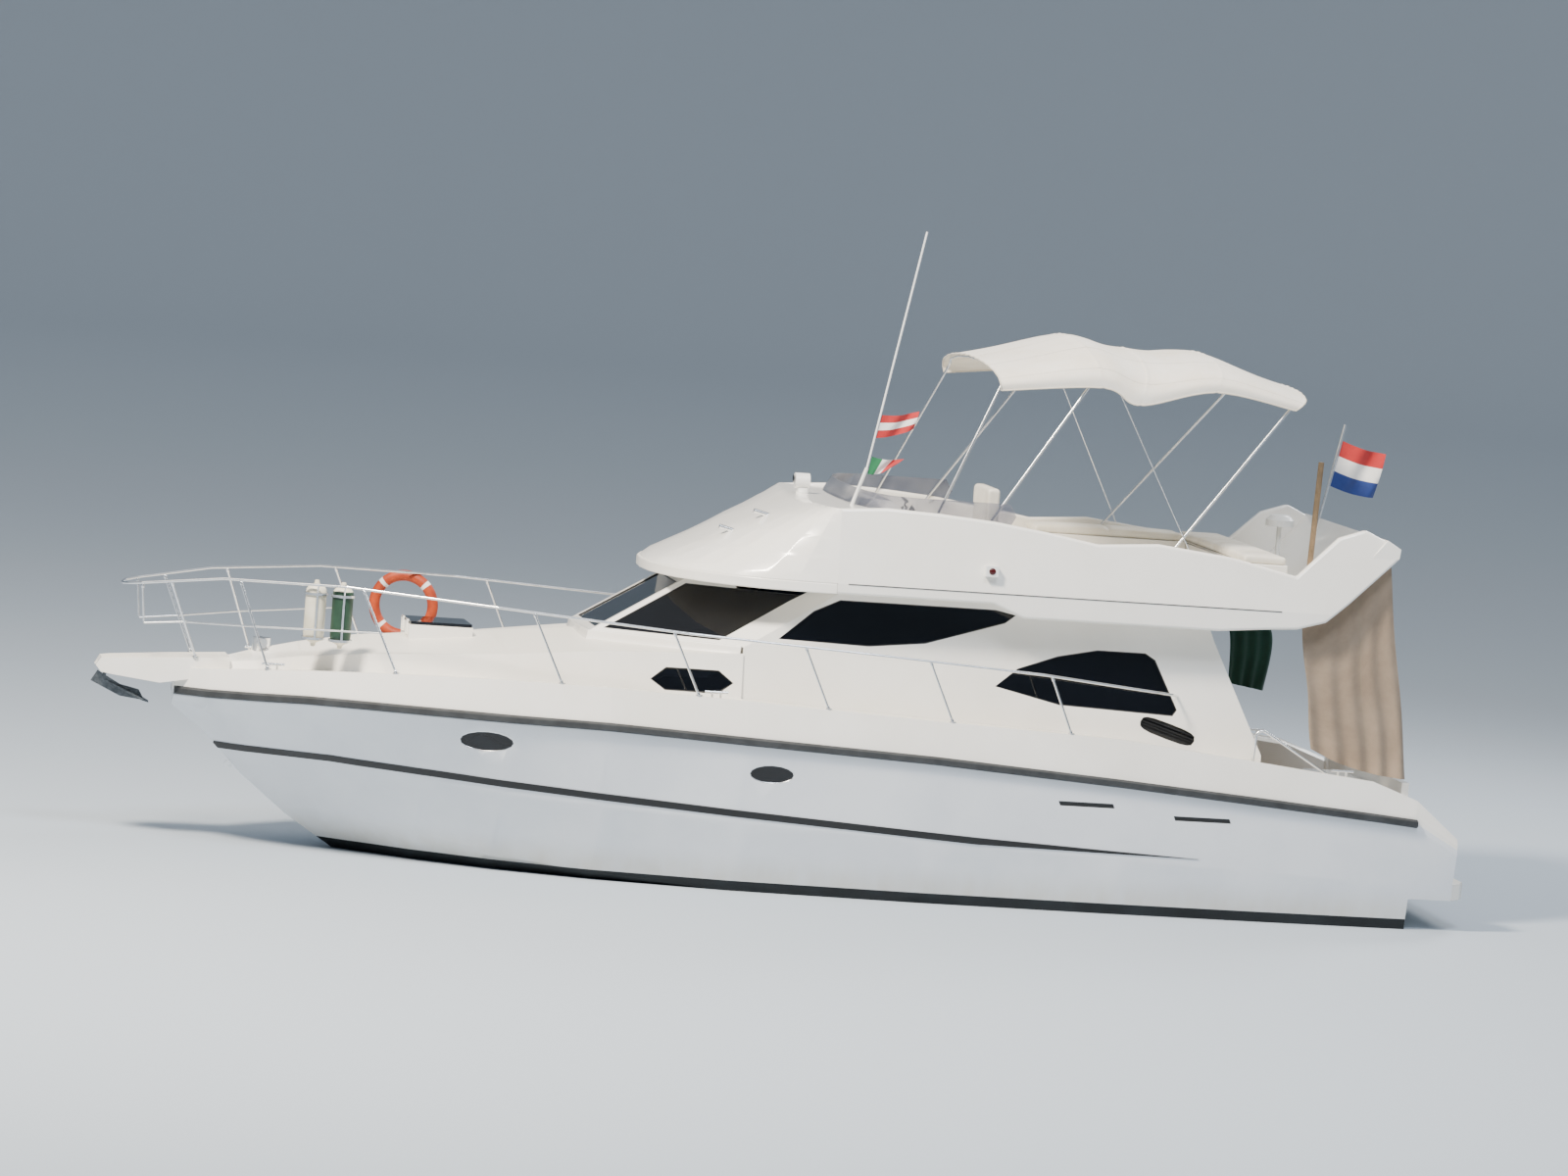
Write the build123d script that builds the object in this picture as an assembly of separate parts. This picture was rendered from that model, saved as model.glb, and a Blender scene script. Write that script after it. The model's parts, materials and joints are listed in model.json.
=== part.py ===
from build123d import *
import math
import os
from collections import namedtuple

# Flybridge motor yacht. Millimetres in the files, metres in the tables below.
# +X bow, +Y port, +Z up; origin amidships on the centreline at the waterline.
os.makedirs("parts", exist_ok=True)
M = 1000.0

# ------------------------------------------------------------------ helpers
def vec(p):
    return Vector(p[0] * M, p[1] * M, p[2] * M)


def ring(points):
    return Wire.make_polygon([vec(p) for p in points], close=True)


def loft_rings(rings):
    return Solid.make_loft([ring(r) for r in rings], True)


def prism(points, step):
    """Planar polygon pushed along a vector."""
    return Solid.extrude(Face(ring(points)), Vector(*[s * M for s in step]))


def prism_y(pts_xz, y0, y1):
    return prism([(x, y0, z) for x, z in pts_xz], (0, y1 - y0, 0))


def prism_z(pts_xy, z0, z1):
    return prism([(x, y, z0) for x, y in pts_xy], (0, 0, z1 - z0))


def prism_x(pts_yz, x0, x1):
    return prism([(x0, y, z) for y, z in pts_yz], (x1 - x0, 0, 0))


def block(x0, x1, y0, y1, z0, z1):
    return prism_z([(x0, y0), (x1, y0), (x1, y1), (x0, y1)], z0, z1)


def rod(a, b, r):
    """Cylinder between two points, radius in metres."""
    a, b = vec(a), vec(b)
    d = b - a
    return Solid.make_cylinder(r * M, d.length, Plane(origin=a, z_dir=d))


def tube(points, r, bend):
    """Bent tube: straight runs joined by tangent arcs."""
    pts = [vec(p) for p in points]
    path = Wire(FilletPolyline(*pts, radius=bend * M).edges())
    start = Plane(origin=pts[0], z_dir=pts[1] - pts[0])
    return Solid.sweep(Face(Wire.make_circle(r * M, start)), path)


def mitred(points, r, gap=0.15):
    """Straight tubes end to end along a line, mitred where it turns, gap mm inside each joint's plane."""
    pts, out = [vec(p) for p in points], []
    ways = [(b - a).normalized() for a, b in zip(pts, pts[1:])]
    for i, d in enumerate(ways):
        a, b, over = pts[i], pts[i + 1], 3 * r * M
        first, last = i == 0, i == len(ways) - 1
        a1, b1 = (a if first else a - d * over), (b if last else b + d * over)
        s = Solid.make_cylinder(r * M, (b1 - a1).length, Plane(origin=a1, z_dir=d))
        if not first:
            n = (d + ways[i - 1]).normalized() * -1
            s = s.cut(Solid.make_cylinder(20 * r * M, 8 * r * M, Plane(origin=a - n * gap, z_dir=n)))
        if not last:
            n = (d + ways[i + 1]).normalized()
            s = s.cut(Solid.make_cylinder(20 * r * M, 8 * r * M, Plane(origin=b - n * gap, z_dir=n)))
        out.append(largest(s))
    return out


def trim(shape, *others):
    """What is left of a shape outside others, as its largest solid."""
    for o in others:
        shape = shape.cut(o)
    return largest(shape)


def mirror_y(shape):
    return shape.mirror(Plane.XZ)


def both(shape):
    return [shape, mirror_y(shape)]


def solids_of(shape):
    if isinstance(shape, (list, tuple, ShapeList)):
        out = []
        for s in shape:
            out += solids_of(s)
        return out
    return list(shape.solids())


def join(*shapes):
    flat = []
    for s in shapes:
        flat += solids_of(s)
    first = flat[0]
    return first.fuse(*flat[1:]) if len(flat) > 1 else first


def save(name, *shapes):
    flat = []
    for s in shapes:
        flat += solids_of(s)
    body = flat[0] if len(flat) == 1 else Compound(children=flat)
    body.label = name
    export_step(body, "parts/" + name + ".step")


def hinge(a, b, r=0.006, out=0.012, fit=0.00005):
    """Pin with an eye at each end (fixed) and a knuckle between them (moving)."""
    def at(t):
        return tuple(u + t * (v - u) for u, v in zip(a, b))
    fixed = join(rod(a, b, r), rod(a, at(0.22), out), rod(at(0.78), b, out))
    knuckle = rod(at(0.24), at(0.76), out).cut(rod(a, b, r + fit))
    return fixed, knuckle


def largest(shape):
    return max(solids_of(shape), key=lambda q: q.volume)


def seat_on(shape, other, way, clear=0.3):
    """Shape slid along a unit vector until it lies clear mm from another."""
    for _ in range(8):
        gap = shape.distance_to(other)
        if gap - clear < 0.02:
            break
        shape = shape.moved(Location(Vector(*way) * (gap - clear)))
    return shape


def lerp(table, x, col):
    """Value of a table column at x, the table running from bow to stern."""
    rows = table
    if x >= rows[0].x:
        return getattr(rows[0], col)
    for a, b in zip(rows, rows[1:]):
        if a.x >= x >= b.x:
            t = (a.x - x) / (a.x - b.x)
            return getattr(a, col) + t * (getattr(b, col) - getattr(a, col))
    return getattr(rows[-1], col)


# ------------------------------------------------------------------ hull table
# keel: height of the keel or stem; yc, zc chine; ym, zm flare; ys, zs rub rail;
# yg, zg gunwale; yt foot of the trunk cabin; zt its shoulder; zr its crown.
WZ = 2.28            # foot of the windscreen, just above the trunk cabin's top there
Sta = namedtuple("Sta", "x keel yc zc ym zm ys zs yg zg yt zt zr")
STA = [
    Sta(5.80, 1.28, 0.02, 1.30, 0.05, 1.33, 0.12, 1.43, 0.11, 1.64, 0.03, 1.66, 1.67),
    Sta(5.50, 1.06, 0.03, 1.09, 0.20, 1.26, 0.50, 1.45, 0.46, 1.68, 0.10, 1.70, 1.72),
    Sta(5.10, 0.66, 0.04, 0.70, 0.35, 1.02, 0.86, 1.48, 0.81, 1.73, 0.30, 1.76, 1.84),
    Sta(4.65, 0.30, 0.06, 0.38, 0.55, 0.90, 1.16, 1.51, 1.10, 1.78, 0.56, 1.86, 1.95),
    Sta(4.10, -0.05, 0.45, 0.33, 0.90, 0.85, 1.43, 1.52, 1.36, 1.82, 0.82, 1.94, 2.05),
    Sta(3.50, -0.42, 0.85, 0.28, 1.22, 0.82, 1.64, 1.52, 1.57, 1.85, 1.04, 2.00, 2.11),
    Sta(2.80, -0.66, 1.14, 0.17, 1.50, 0.78, 1.82, 1.515, 1.75, 1.87, 1.22, 2.06, 2.17),
    Sta(1.90, -0.75, 1.40, 0.08, 1.72, 0.74, 1.95, 1.51, 1.88, 1.87, 1.36, WZ - 0.12, WZ - 0.02),
    Sta(0.60, -0.78, 1.62, 0.00, 1.88, 0.68, 2.03, 1.46, 1.96, 1.83, 1.46, WZ - 0.06, WZ - 0.01),
    Sta(-1.20, -0.76, 1.74, -0.05, 1.94, 0.62, 2.05, 1.385, 1.98, 1.75, 1.46, 2.22, 2.27),
    Sta(-3.00, -0.70, 1.76, -0.08, 1.93, 0.55, 2.02, 1.27, 1.95, 1.68, 1.46, 2.22, 2.27),
    Sta(-4.40, -0.64, 1.74, -0.10, 1.88, 0.50, 1.96, 1.165, 1.90, 1.53, 1.46, 2.22, 2.27),
    Sta(-5.50, -0.60, 1.70, -0.11, 1.82, 0.46, 1.89, 1.075, 1.84, 1.41, 1.46, 2.22, 2.27),
    Sta(-5.95, -0.58, 1.68, -0.11, 1.79, 0.44, 1.86, 1.035, 1.81, 1.25, 1.46, 2.22, 2.27),
    Sta(-6.38, -0.57, 1.66, -0.11, 1.75, 0.43, 1.82, 0.80, 1.79, 0.90, 1.46, 2.22, 2.27),
]
BAND = 0.05          # half height of the flat the rub rail lies on
BOOT = 0.10          # top of the dark bottom paint above the waterline
SOLE = 0.80          # floor of the long well in the hull
COCKPIT_Z, SALOON_Z = SOLE + 0.06, SOLE + 0.15
WELL_X0, WELL_Y = 0.55, 1.46
TRANSOM_X = -5.95
SPLIT_X = 0.60       # trunk cabin in front, side decks behind


def hull_ring(s, out=0.0):
    half = [
        (s.x, 0.0, s.keel - out),
        (s.x, s.yc + out, s.zc - out),
        (s.x, s.ym + out, s.zm),
        (s.x, s.ys + out, s.zs - BAND),
        (s.x, s.ys + out, s.zs),
    ]
    return half + [(x, -y, z) for x, y, z in reversed(half[1:])]


hull = loft_rings([hull_ring(s) for s in STA])
well = block(-7.0, WELL_X0, -WELL_Y, WELL_Y, SOLE, 3.0)
stern_cut = block(-7.0, TRANSOM_X, -3, 3, -2, 0.30)
platform_cut = block(-7.0, TRANSOM_X, -1.50, 1.50, 0.29, 3.0)
BAY_X0, BAY_X1, BAY_Y, BAY_Z = -5.30, -3.90, 1.20, 0.12
bay = block(BAY_X0, BAY_X1, -BAY_Y, BAY_Y, BAY_Z, SOLE + 0.01)
hull = hull.cut(well).cut(stern_cut).cut(platform_cut).cut(bay)

# stern gear first, since it needs pockets in the hull
SHAFT_Y, PROP_X, PROP_Z, SHAFT_R = 0.78, -5.05, -0.74, 0.020
SHAFT_DEG = 7.0
SHAFT_DIR = (math.cos(math.radians(SHAFT_DEG)), 0.0, math.sin(math.radians(SHAFT_DEG)))
RUD_X = -5.55


def along(p, d, t):
    return tuple(a + t * b for a, b in zip(p, d))


pockets = []
for side in (1, -1):
    hub = (PROP_X, side * SHAFT_Y, PROP_Z)
    pockets.append(rod(along(hub, SHAFT_DIR, 1.6), along(hub, SHAFT_DIR, 3.0), SHAFT_R + 0.00005))
    pockets.append(rod((RUD_X, side * SHAFT_Y, -0.5), (RUD_X, side * SHAFT_Y, -0.16), 0.02505))

below = block(-8, 8, -4, 4, -3, BOOT)
bottom = hull.intersect(below)
bottom = solids_of(bottom)[0] if len(solids_of(bottom)) == 1 else join(bottom)
bottom = bottom.cut(*pockets)
topsides = hull.cut(below)

# portlights and vents sit in shallow recesses of the topsides
Port = namedtuple("Port", "x z length height")
PORTS = [Port(3.00, 1.28, 0.50, 0.20), Port(0.34, 1.16, 0.43, 0.18)]
Vent = namedtuple("Vent", "x0 x1 z")
VENTS = [Vent(-2.43, -2.94, 1.05), Vent(-3.56, -4.09, 0.965)]

save("hull_bottom", bottom)

# ------------------------------------------------------------------ stripe, rub rail
STRIPE = [(5.38, 0.92), (4.35, 0.94), (3.45, 0.91), (1.68, 0.82), (-1.67, 0.64), (-3.83, 0.55)]
outer = loft_rings([hull_ring(s, 0.006) for s in STA[:13]])
band = prism_y([(x, z + 0.033) for x, z in STRIPE] + [(x, z - 0.033) for x, z in reversed(STRIPE[:-1])], -3, 3)
inner = loft_rings([hull_ring(s) for s in STA[:13]])
stripe = join(outer.intersect(band)).cut(inner)
save("hull_stripe", stripe)


def rub_ring(s):
    y = s.ys
    return [(s.x, y, s.zs - 0.04), (s.x, y + 0.045, s.zs - 0.022), (s.x, y + 0.045, s.zs + 0.022), (s.x, y, s.zs + 0.04)]


rub = both(loft_rings([rub_ring(s) for s in STA[:14]]))


def hull_y(x, z):
    """Half breadth of the topsides at a place, between flare line and rub rail."""
    ym, zm = lerp(STA, x, "ym"), lerp(STA, x, "zm")
    ys, zs = lerp(STA, x, "ys"), lerp(STA, x, "zs") - BAND
    return ym + (ys - ym) * (z - zm) / (zs - zm)


def oval(x, z, length, height, n=16):
    return [(x + length / 2 * math.cos(2 * math.pi * k / n), z + height / 2 * math.sin(2 * math.pi * k / n)) for k in range(n)]


def on_side(pts_xz, x, z, depth, thick):
    """Flat plug facing out of the topsides at x, z; its face lies depth inside."""
    y = hull_y(x, z)
    slope_x = (hull_y(x + 0.2, z) - hull_y(x - 0.2, z)) / 0.4
    slope_z = (hull_y(x, z + 0.05) - hull_y(x, z - 0.05)) / 0.1
    pts = [(px, y + slope_x * (px - x) + slope_z * (pz - z) - depth, pz) for px, pz in pts_xz]
    return prism(pts, (0, thick, 0))


ports, port_cuts, vents = [], [], []
for q in PORTS:
    port_cuts.append(on_side(oval(q.x, q.z, q.length, q.height), q.x, q.z, 0.030, 0.20))
    ports.append(on_side(oval(q.x, q.z, q.length - 0.002, q.height - 0.002), q.x, q.z, 0.030, 0.012))
for v in VENTS:
    xm = (v.x0 + v.x1) / 2
    slot = [(v.x0, v.z - 0.022), (v.x0 + 0.02, v.z + 0.022), (v.x1, v.z + 0.022), (v.x1 - 0.02, v.z - 0.022)]
    port_cuts.append(on_side(slot, xm, v.z, 0.030, 0.20))
    inner_slot = [(v.x0 - 0.001, v.z - 0.021), (v.x0 + 0.019, v.z + 0.021), (v.x1 + 0.001, v.z + 0.021), (v.x1 - 0.019, v.z - 0.021)]
    vents.append(on_side(inner_slot, xm, v.z, 0.030, 0.012))
for c in port_cuts:
    topsides = topsides.cut(c).cut(mirror_y(c))
save("hull_topsides", topsides)
rub_pieces = [rub] + [both(v) for v in vents]

# ------------------------------------------------------------------ deck mouldings
def deck_ring(s):
    half = [
        (s.x, s.ys, s.zs),
        (s.x, s.ys, s.zs + BAND),
        (s.x, s.yg, s.zg),
        (s.x, s.yg - 0.05, s.zg),
        (s.x, s.yg - 0.07, s.zg - 0.05),
        (s.x, s.yt + 0.01, s.zg - 0.04),
        (s.x, s.yt - 0.04, s.zt),
    ]
    return half + [(s.x, 0.0, s.zr)] + [(x, -y, z) for x, y, z in reversed(half)]


FORE = [s for s in STA if s.x >= SPLIT_X]
fore = loft_rings([
    [(s.x, 0.12, s.zs), (s.x, 0.12, s.zs + BAND), (s.x, 0.11, s.zg), (s.x, 0.08, s.zg), (s.x, 0.06, s.zg - 0.01), (s.x, 0.05, s.zg - 0.005), (s.x, 0.02, s.zg + 0.01),
     (s.x, 0.0, s.zg + 0.02),
     (s.x, -0.02, s.zg + 0.01), (s.x, -0.05, s.zg - 0.005), (s.x, -0.06, s.zg - 0.01), (s.x, -0.08, s.zg), (s.x, -0.11, s.zg), (s.x, -0.12, s.zs + BAND), (s.x, -0.12, s.zs)]
    if i == 0 else deck_ring(s) for i, s in enumerate(FORE)])

HATCH_X0, HATCH_X1, HATCH_Y = 3.05, 3.60, 0.28
HATCH_Z = 2.205
hatch_well = block(HATCH_X0 + 0.03, HATCH_X1 - 0.03, -HATCH_Y + 0.03, HATCH_Y - 0.03, 1.80, 2.6)
coaming = block(HATCH_X0 - 0.03, HATCH_X1 + 0.03, -HATCH_Y - 0.03, HATCH_Y + 0.03, 1.90, HATCH_Z)
fore = join(fore, coaming).cut(hatch_well)

HX, HZ = HATCH_X1 + 0.034, HATCH_Z + 0.030
TW = [(1.46, 1.93), (1.32, 2.045), (0.82, 2.05), (0.68, 1.94), (0.82, 1.835), (1.32, 1.835)]


def trunk_y(x, z):
    yt, zt, zd = lerp(STA, x, "yt"), lerp(STA, x, "zt"), lerp(STA, x, "zg") - 0.04
    return yt + 0.01 - 0.05 * (z - zd) / (zt - zd)


def trunk_plug(pts, depth, thick):
    x, z = 1.07, 1.94
    y = trunk_y(x, z)
    sx = (trunk_y(x + 0.3, z) - trunk_y(x - 0.3, z)) / 0.6
    sz = (trunk_y(x, z + 0.05) - trunk_y(x, z - 0.05)) / 0.1
    return prism([(px, y + sx * (px - x) + sz * (pz - z) - depth, pz) for px, pz in pts], (0, thick, 0))


tw_cut = trunk_plug(TW, 0.022, 0.2)
fore = fore.cut(tw_cut).cut(mirror_y(tw_cut))
TW_IN = [(1.07 + (x - 1.07) * 0.997, 1.94 + (z - 1.94) * 0.99) for x, z in TW]
trunk_panes = both(trunk_plug(TW_IN, 0.022, 0.012))
fore_fix, fore_mov = [], []
for y in (-0.16, 0.16):
    f, k = hinge((HX, y - 0.05, HZ), (HX, y + 0.05, HZ))
    for y0, y1 in ((y - 0.05, y - 0.029), (y + 0.029, y + 0.05)):
        fore_fix.append(block(HX - 0.006, HX + 0.012, y0, y1, HATCH_Z - 0.10, HZ))
    fore_fix.append(f)
    fore_mov.append(join(k, block(HX - 0.034, HX - 0.007, y - 0.025, y + 0.025, HZ - 0.010, HZ)))
fore = join(fore, *fore_fix)
save("foredeck", fore)
hlid = block(HATCH_X0 - 0.02, HATCH_X1 + 0.02, -HATCH_Y - 0.02, HATCH_Y + 0.02, HATCH_Z + 0.005, HATCH_Z + 0.030)
save("foredeck_hatch", join(hlid, *fore_mov))


def side_ring(s):
    return [
        (s.x, WELL_Y, s.zs), (s.x, s.ys, s.zs), (s.x, s.ys, s.zs + min(BAND, (s.zg - s.zs) * 0.4)),
        (s.x, s.yg, s.zg), (s.x, s.yg - 0.05, s.zg), (s.x, s.yg - 0.07, s.zg - 0.03),
        (s.x, WELL_Y, s.zg - 0.03),
    ]


AFT = [s for s in STA if s.x <= SPLIT_X]
save("side_decks", both(loft_rings([side_ring(s) for s in AFT])))

# ------------------------------------------------------------------ transom, gate, platform
TR_T = 0.07
tr = block(TRANSOM_X, TRANSOM_X + TR_T, -WELL_Y, WELL_Y, SOLE, 1.38)
GATE_Y0, GATE_Y1 = -1.36, -0.80
tr = tr.cut(block(TRANSOM_X - 0.1, TRANSOM_X + TR_T + 0.1, GATE_Y0, GATE_Y1, COCKPIT_Z, 2))
GX = TRANSOM_X - 0.014
gate = block(TRANSOM_X + 0.01, TRANSOM_X + 0.05, GATE_Y0 + 0.008, GATE_Y1 - 0.008, COCKPIT_Z + 0.01, 1.37)
for z in (0.98, 1.24):
    f, k = hinge((GX, GATE_Y1, z - 0.05), (GX, GATE_Y1, z + 0.05))
    for z0, z1 in ((z - 0.05, z - 0.029), (z + 0.029, z + 0.05)):
        f = join(f, block(GX - 0.010, TRANSOM_X + 0.001, GATE_Y1 - 0.002, GATE_Y1 + 0.05, z0, z1))
    tr = join(tr, f)
    gate = join(gate, k, block(GX - 0.008, TRANSOM_X + 0.011, GATE_Y1 - 0.05, GATE_Y1 - 0.007, z - 0.025, z + 0.025))
save("transom", tr)
save("transom_gate", gate)
plat = join(block(-6.38, TRANSOM_X, -1.50, 1.50, 0.30, 0.46), prism_z(
    [(-6.38, -1.72), (-6.48, -1.66), (-6.55, -1.50), (-6.55, 1.50), (-6.48, 1.66), (-6.38, 1.72)], 0.30, 0.46))
save("swim_platform", plat)

# ------------------------------------------------------------------ bow platform and anchor
pul = prism_y([(5.30, 1.62), (5.95, 1.50), (6.50, 1.56), (6.55, 1.62), (6.50, 1.70), (5.30, 1.78)], -0.26, 0.26)
plan = prism_z([(5.2, -0.30), (5.9, -0.26), (6.40, -0.20), (6.55, -0.10), (6.55, 0.10), (6.40, 0.20), (5.9, 0.26), (5.2, 0.30)], 1.0, 2.5)
pul = pul.intersect(plan)
pul = join(pul) if len(solids_of(pul)) > 1 else solids_of(pul)[0]
pul = pul.cut(fore).cut(hull)
pul = max(solids_of(pul), key=lambda s: s.volume)
pul = pul.cut(block(5.9, 6.7, -0.045, 0.045, 1.3, 1.66))
save("bow_platform", pul)
shank = rod((6.44, 0, 1.6435), (5.95, 0, 1.6435), 0.016)
fluke = prism_y([(6.52, 1.56), (6.30, 1.44), (6.12, 1.40), (6.06, 1.30), (6.30, 1.33), (6.58, 1.46)], -0.015, 0.015)
wings = prism([(6.50, 0.0, 1.50), (6.10, 0.17, 1.50 - 0.40 * 0.20 / 0.48), (6.02, 0.0, 1.30), (6.10, -0.17, 1.50 - 0.40 * 0.20 / 0.48)], (0.0, 0, -0.02))
anchor = join(shank, fluke, wings, rod((6.43, 0, 1.643), (6.46, 0, 1.49), 0.016))
save("anchor", anchor)

# ------------------------------------------------------------------ soles
BH_X = -3.68         # aft bulkhead of the saloon
EH_X0, EH_X1, EH_Y = -5.25, -4.35, 0.55
csole = block(TRANSOM_X + TR_T, BH_X, -WELL_Y, WELL_Y, SOLE, COCKPIT_Z)
csole = csole.cut(block(EH_X0, EH_X1, -EH_Y, EH_Y, 0.0, 2))
lid = block(EH_X0 + 0.006, EH_X1 - 0.006, -EH_Y + 0.006, EH_Y - 0.006, SOLE + 0.006, COCKPIT_Z)
EZ = COCKPIT_Z + 0.0125
for y in (-0.35, 0.35):
    f, k = hinge((EH_X1, y - 0.05, EZ), (EH_X1, y + 0.05, EZ))
    for y0, y1 in ((y - 0.05, y - 0.029), (y + 0.029, y + 0.05)):
        f = join(f, block(EH_X1 - 0.002, EH_X1 + 0.05, y0, y1, COCKPIT_Z - 0.001, EZ + 0.006))
    csole = join(csole, f)
    lid = join(lid, k, block(EH_X1 - 0.05, EH_X1 - 0.007, y - 0.025, y + 0.025, COCKPIT_Z - 0.005, EZ + 0.006))
csole = join(csole, block(BH_X, WELL_X0, -WELL_Y, WELL_Y, SOLE, SALOON_Z))
save("soles", csole)
save("engine_hatch", lid)
eng = [block(-5.15, -4.05, *sorted((sd * 0.42, sd * 1.08)), BAY_Z, 0.70) for sd in (1, -1)]
save("engines", eng)

# ------------------------------------------------------------------ cabin
CAB_T = 0.05
Y_BOT, Y_TOP = 1.46, 1.34      # outer face of the cabin side at z 1.60 and at the roof
Z_ROOF = 2.86
WIN_X0, WIN_X1, HEAD_X = 1.96, 0.60, 1.02      # centre pane's foot, side pane's aft foot, centre pane's head
WIN_Y0, HEAD_Y = 0.62, 0.58    # half breadth of the centre pane at foot and head
SIDE_X0 = -3.84                # aft end of the cabin side at the roof


def side_y(z):
    return Y_BOT + (z - 1.60) * (Y_TOP - Y_BOT) / (Z_ROOF - 1.60)


def side_panel(pts_xz, inset, thick):
    """Plate lying in the leaning plane of the cabin side."""
    a = [(x, side_y(z) - inset, z) for x, z in pts_xz]
    return prism(a, (0, -thick, 0))


WB = [(WIN_X0, WIN_Y0), (WIN_X1, side_y(WZ))]
SWEEP = (Y_TOP - HEAD_Y) / (WB[1][1] - WB[0][1])     # keeps the side pane flat
WT = [(HEAD_X, HEAD_Y), (HEAD_X + (WB[1][0] - WB[0][0]) * SWEEP, Y_TOP)]
CAB_SIDE = [(WIN_X1, 1.84), (WIN_X1, WZ), (WT[1][0], Z_ROOF), (SIDE_X0, Z_ROOF), (-3.95, 2.60), (-4.47, 1.56),
            (-4.47, 1.46), (-3.00, 1.60), (-1.20, 1.67), (WIN_X1, 1.75)]
SALOON_WIN = [(0.27, 2.38), (-0.05, 2.66), (-0.30, 2.78), (-1.80, 2.78), (-2.00, 2.74), (-1.90, 2.66), (-1.14, 2.42), (-0.60, 2.36)]
AFT_WIN = [(-1.84, 2.06), (-2.05, 2.24), (-2.43, 2.38), (-2.81, 2.46), (-3.28, 2.46), (-3.38, 2.40), (-3.62, 1.94), (-3.58, 1.88), (-2.47, 1.92)]
INTAKE_C, INTAKE_L, INTAKE_H, INTAKE_DEG = (-3.54, 1.735), 0.56, 0.15, 17.0     # air intake below the aft window


def intake(grow=0.0, n=16):
    """Leaning oval with flattened sides, for the air intake."""
    tilt, out = math.radians(INTAKE_DEG), []
    for k in range(n):
        t = 2 * math.pi * k / n
        u = (INTAKE_L / 2 + grow) * math.copysign(abs(math.cos(t)) ** 0.6, math.cos(t))
        v = (INTAKE_H / 2 + grow) * math.copysign(abs(math.sin(t)) ** 0.6, math.sin(t))
        out.append((INTAKE_C[0] + u * math.cos(tilt) - v * math.sin(tilt), INTAKE_C[1] + u * math.sin(tilt) + v * math.cos(tilt)))
    return out


cab = side_panel(CAB_SIDE, 0.0, CAB_T)
cuts = [side_panel(w, -0.2, 0.5) for w in (SALOON_WIN, AFT_WIN, intake())]
cab_port = cab.cut(*cuts)
low = loft_rings([side_ring(s) for s in AFT])
cab_port = cab_port.cut(low)
cab_port = max(solids_of(cab_port), key=lambda s: s.volume)
save("cabin_sides", both(cab_port))
panes = []
for w in (SALOON_WIN, AFT_WIN):
    panes += both(side_panel(w, 0.014, 0.010))
louvre = side_panel(intake(), 0.022, 0.006)
for k in range(1, 5):
    zl = INTAKE_C[1] + (k / 5 - 0.5) * INTAKE_H
    rise = INTAKE_L * math.tan(math.radians(INTAKE_DEG))
    slat = side_panel([(INTAKE_C[0] - INTAKE_L, zl - 0.005 - rise), (INTAKE_C[0] + INTAKE_L, zl - 0.005 + rise),
                       (INTAKE_C[0] + INTAKE_L, zl + 0.005 + rise), (INTAKE_C[0] - INTAKE_L, zl + 0.005 - rise)], 0.006, 0.017)
    louvre = join(louvre, slat.intersect(side_panel(intake(), 0.0, CAB_T)))
save("hull_trim", *rub_pieces, both(largest(louvre)))

# windscreen: a centre pane and two swept panes in one frame


def screen_ring(pts, z, off):
    (xa, ya), (xb, yb) = pts
    return [(xa - off, -ya + off * 0.4, z), (xa - off, ya - off * 0.4, z), (xb, yb - off, z), (xb, -yb + off, z)]


frame_out = loft_rings([screen_ring(WB, WZ, 0.0), screen_ring(WT, Z_ROOF, 0.0)])
frame_in = loft_rings([screen_ring(WB, WZ, 0.07), screen_ring(WT, Z_ROOF, 0.07)])
frame_in = join(frame_in, block(-1.0, 0.62, -1.2, 1.2, WZ, Z_ROOF))
front = frame_out.cut(frame_in)


def quad(a, b, c, d, m0, m1, lo, hi):
    """Pane inside the four corners a (base) b (base) c (head) d (head)."""
    def mix(p, q, t):
        return tuple(u + t * (v - u) for u, v in zip(p, q))
    p0, p1 = mix(a, b, m0), mix(a, b, m1)
    q0, q1 = mix(d, c, m0), mix(d, c, m1)
    return [mix(p0, q0, lo), mix(p1, q1, lo), mix(p1, q1, hi), mix(p0, q0, hi)]


B0, B1 = (WB[0][0], -WB[0][1], WZ), (WB[0][0], WB[0][1], WZ)
T0, T1 = (WT[0][0], -WT[0][1], Z_ROOF), (WT[0][0], WT[0][1], Z_ROOF)
B2, T2 = (WB[1][0], WB[1][1], WZ), (WT[1][0], WT[1][1], Z_ROOF)
centre_q = quad(B0, B1, T1, T0, 0.05, 0.95, 0.07, 0.88)
side_q = quad(B1, B2, T2, T1, 0.05, 0.80, 0.07, 0.88)


def plate(q, push0, thick):
    """Plate on a planar quad, pushed along the quad's inward normal."""
    a, b, c = [Vector(*p) for p in q[:3]]
    n = (b - a).cross(c - a).normalized()
    if n.Z > 0:
        n = n * -1
    q0 = [tuple(Vector(*p) + n * push0) for p in q]
    return prism(q0, tuple(n * thick))


holes = [plate(centre_q, -0.3, 0.6), plate(side_q, -0.3, 0.6)]
holes.append(mirror_y(holes[1]))
front = front.cut(*holes)
save("windscreen_frame", front)
g1 = plate(centre_q, 0.012, 0.008)
g2 = plate(side_q, 0.012, 0.008)
screen_panes = [g1, g2, mirror_y(g2)]

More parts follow.
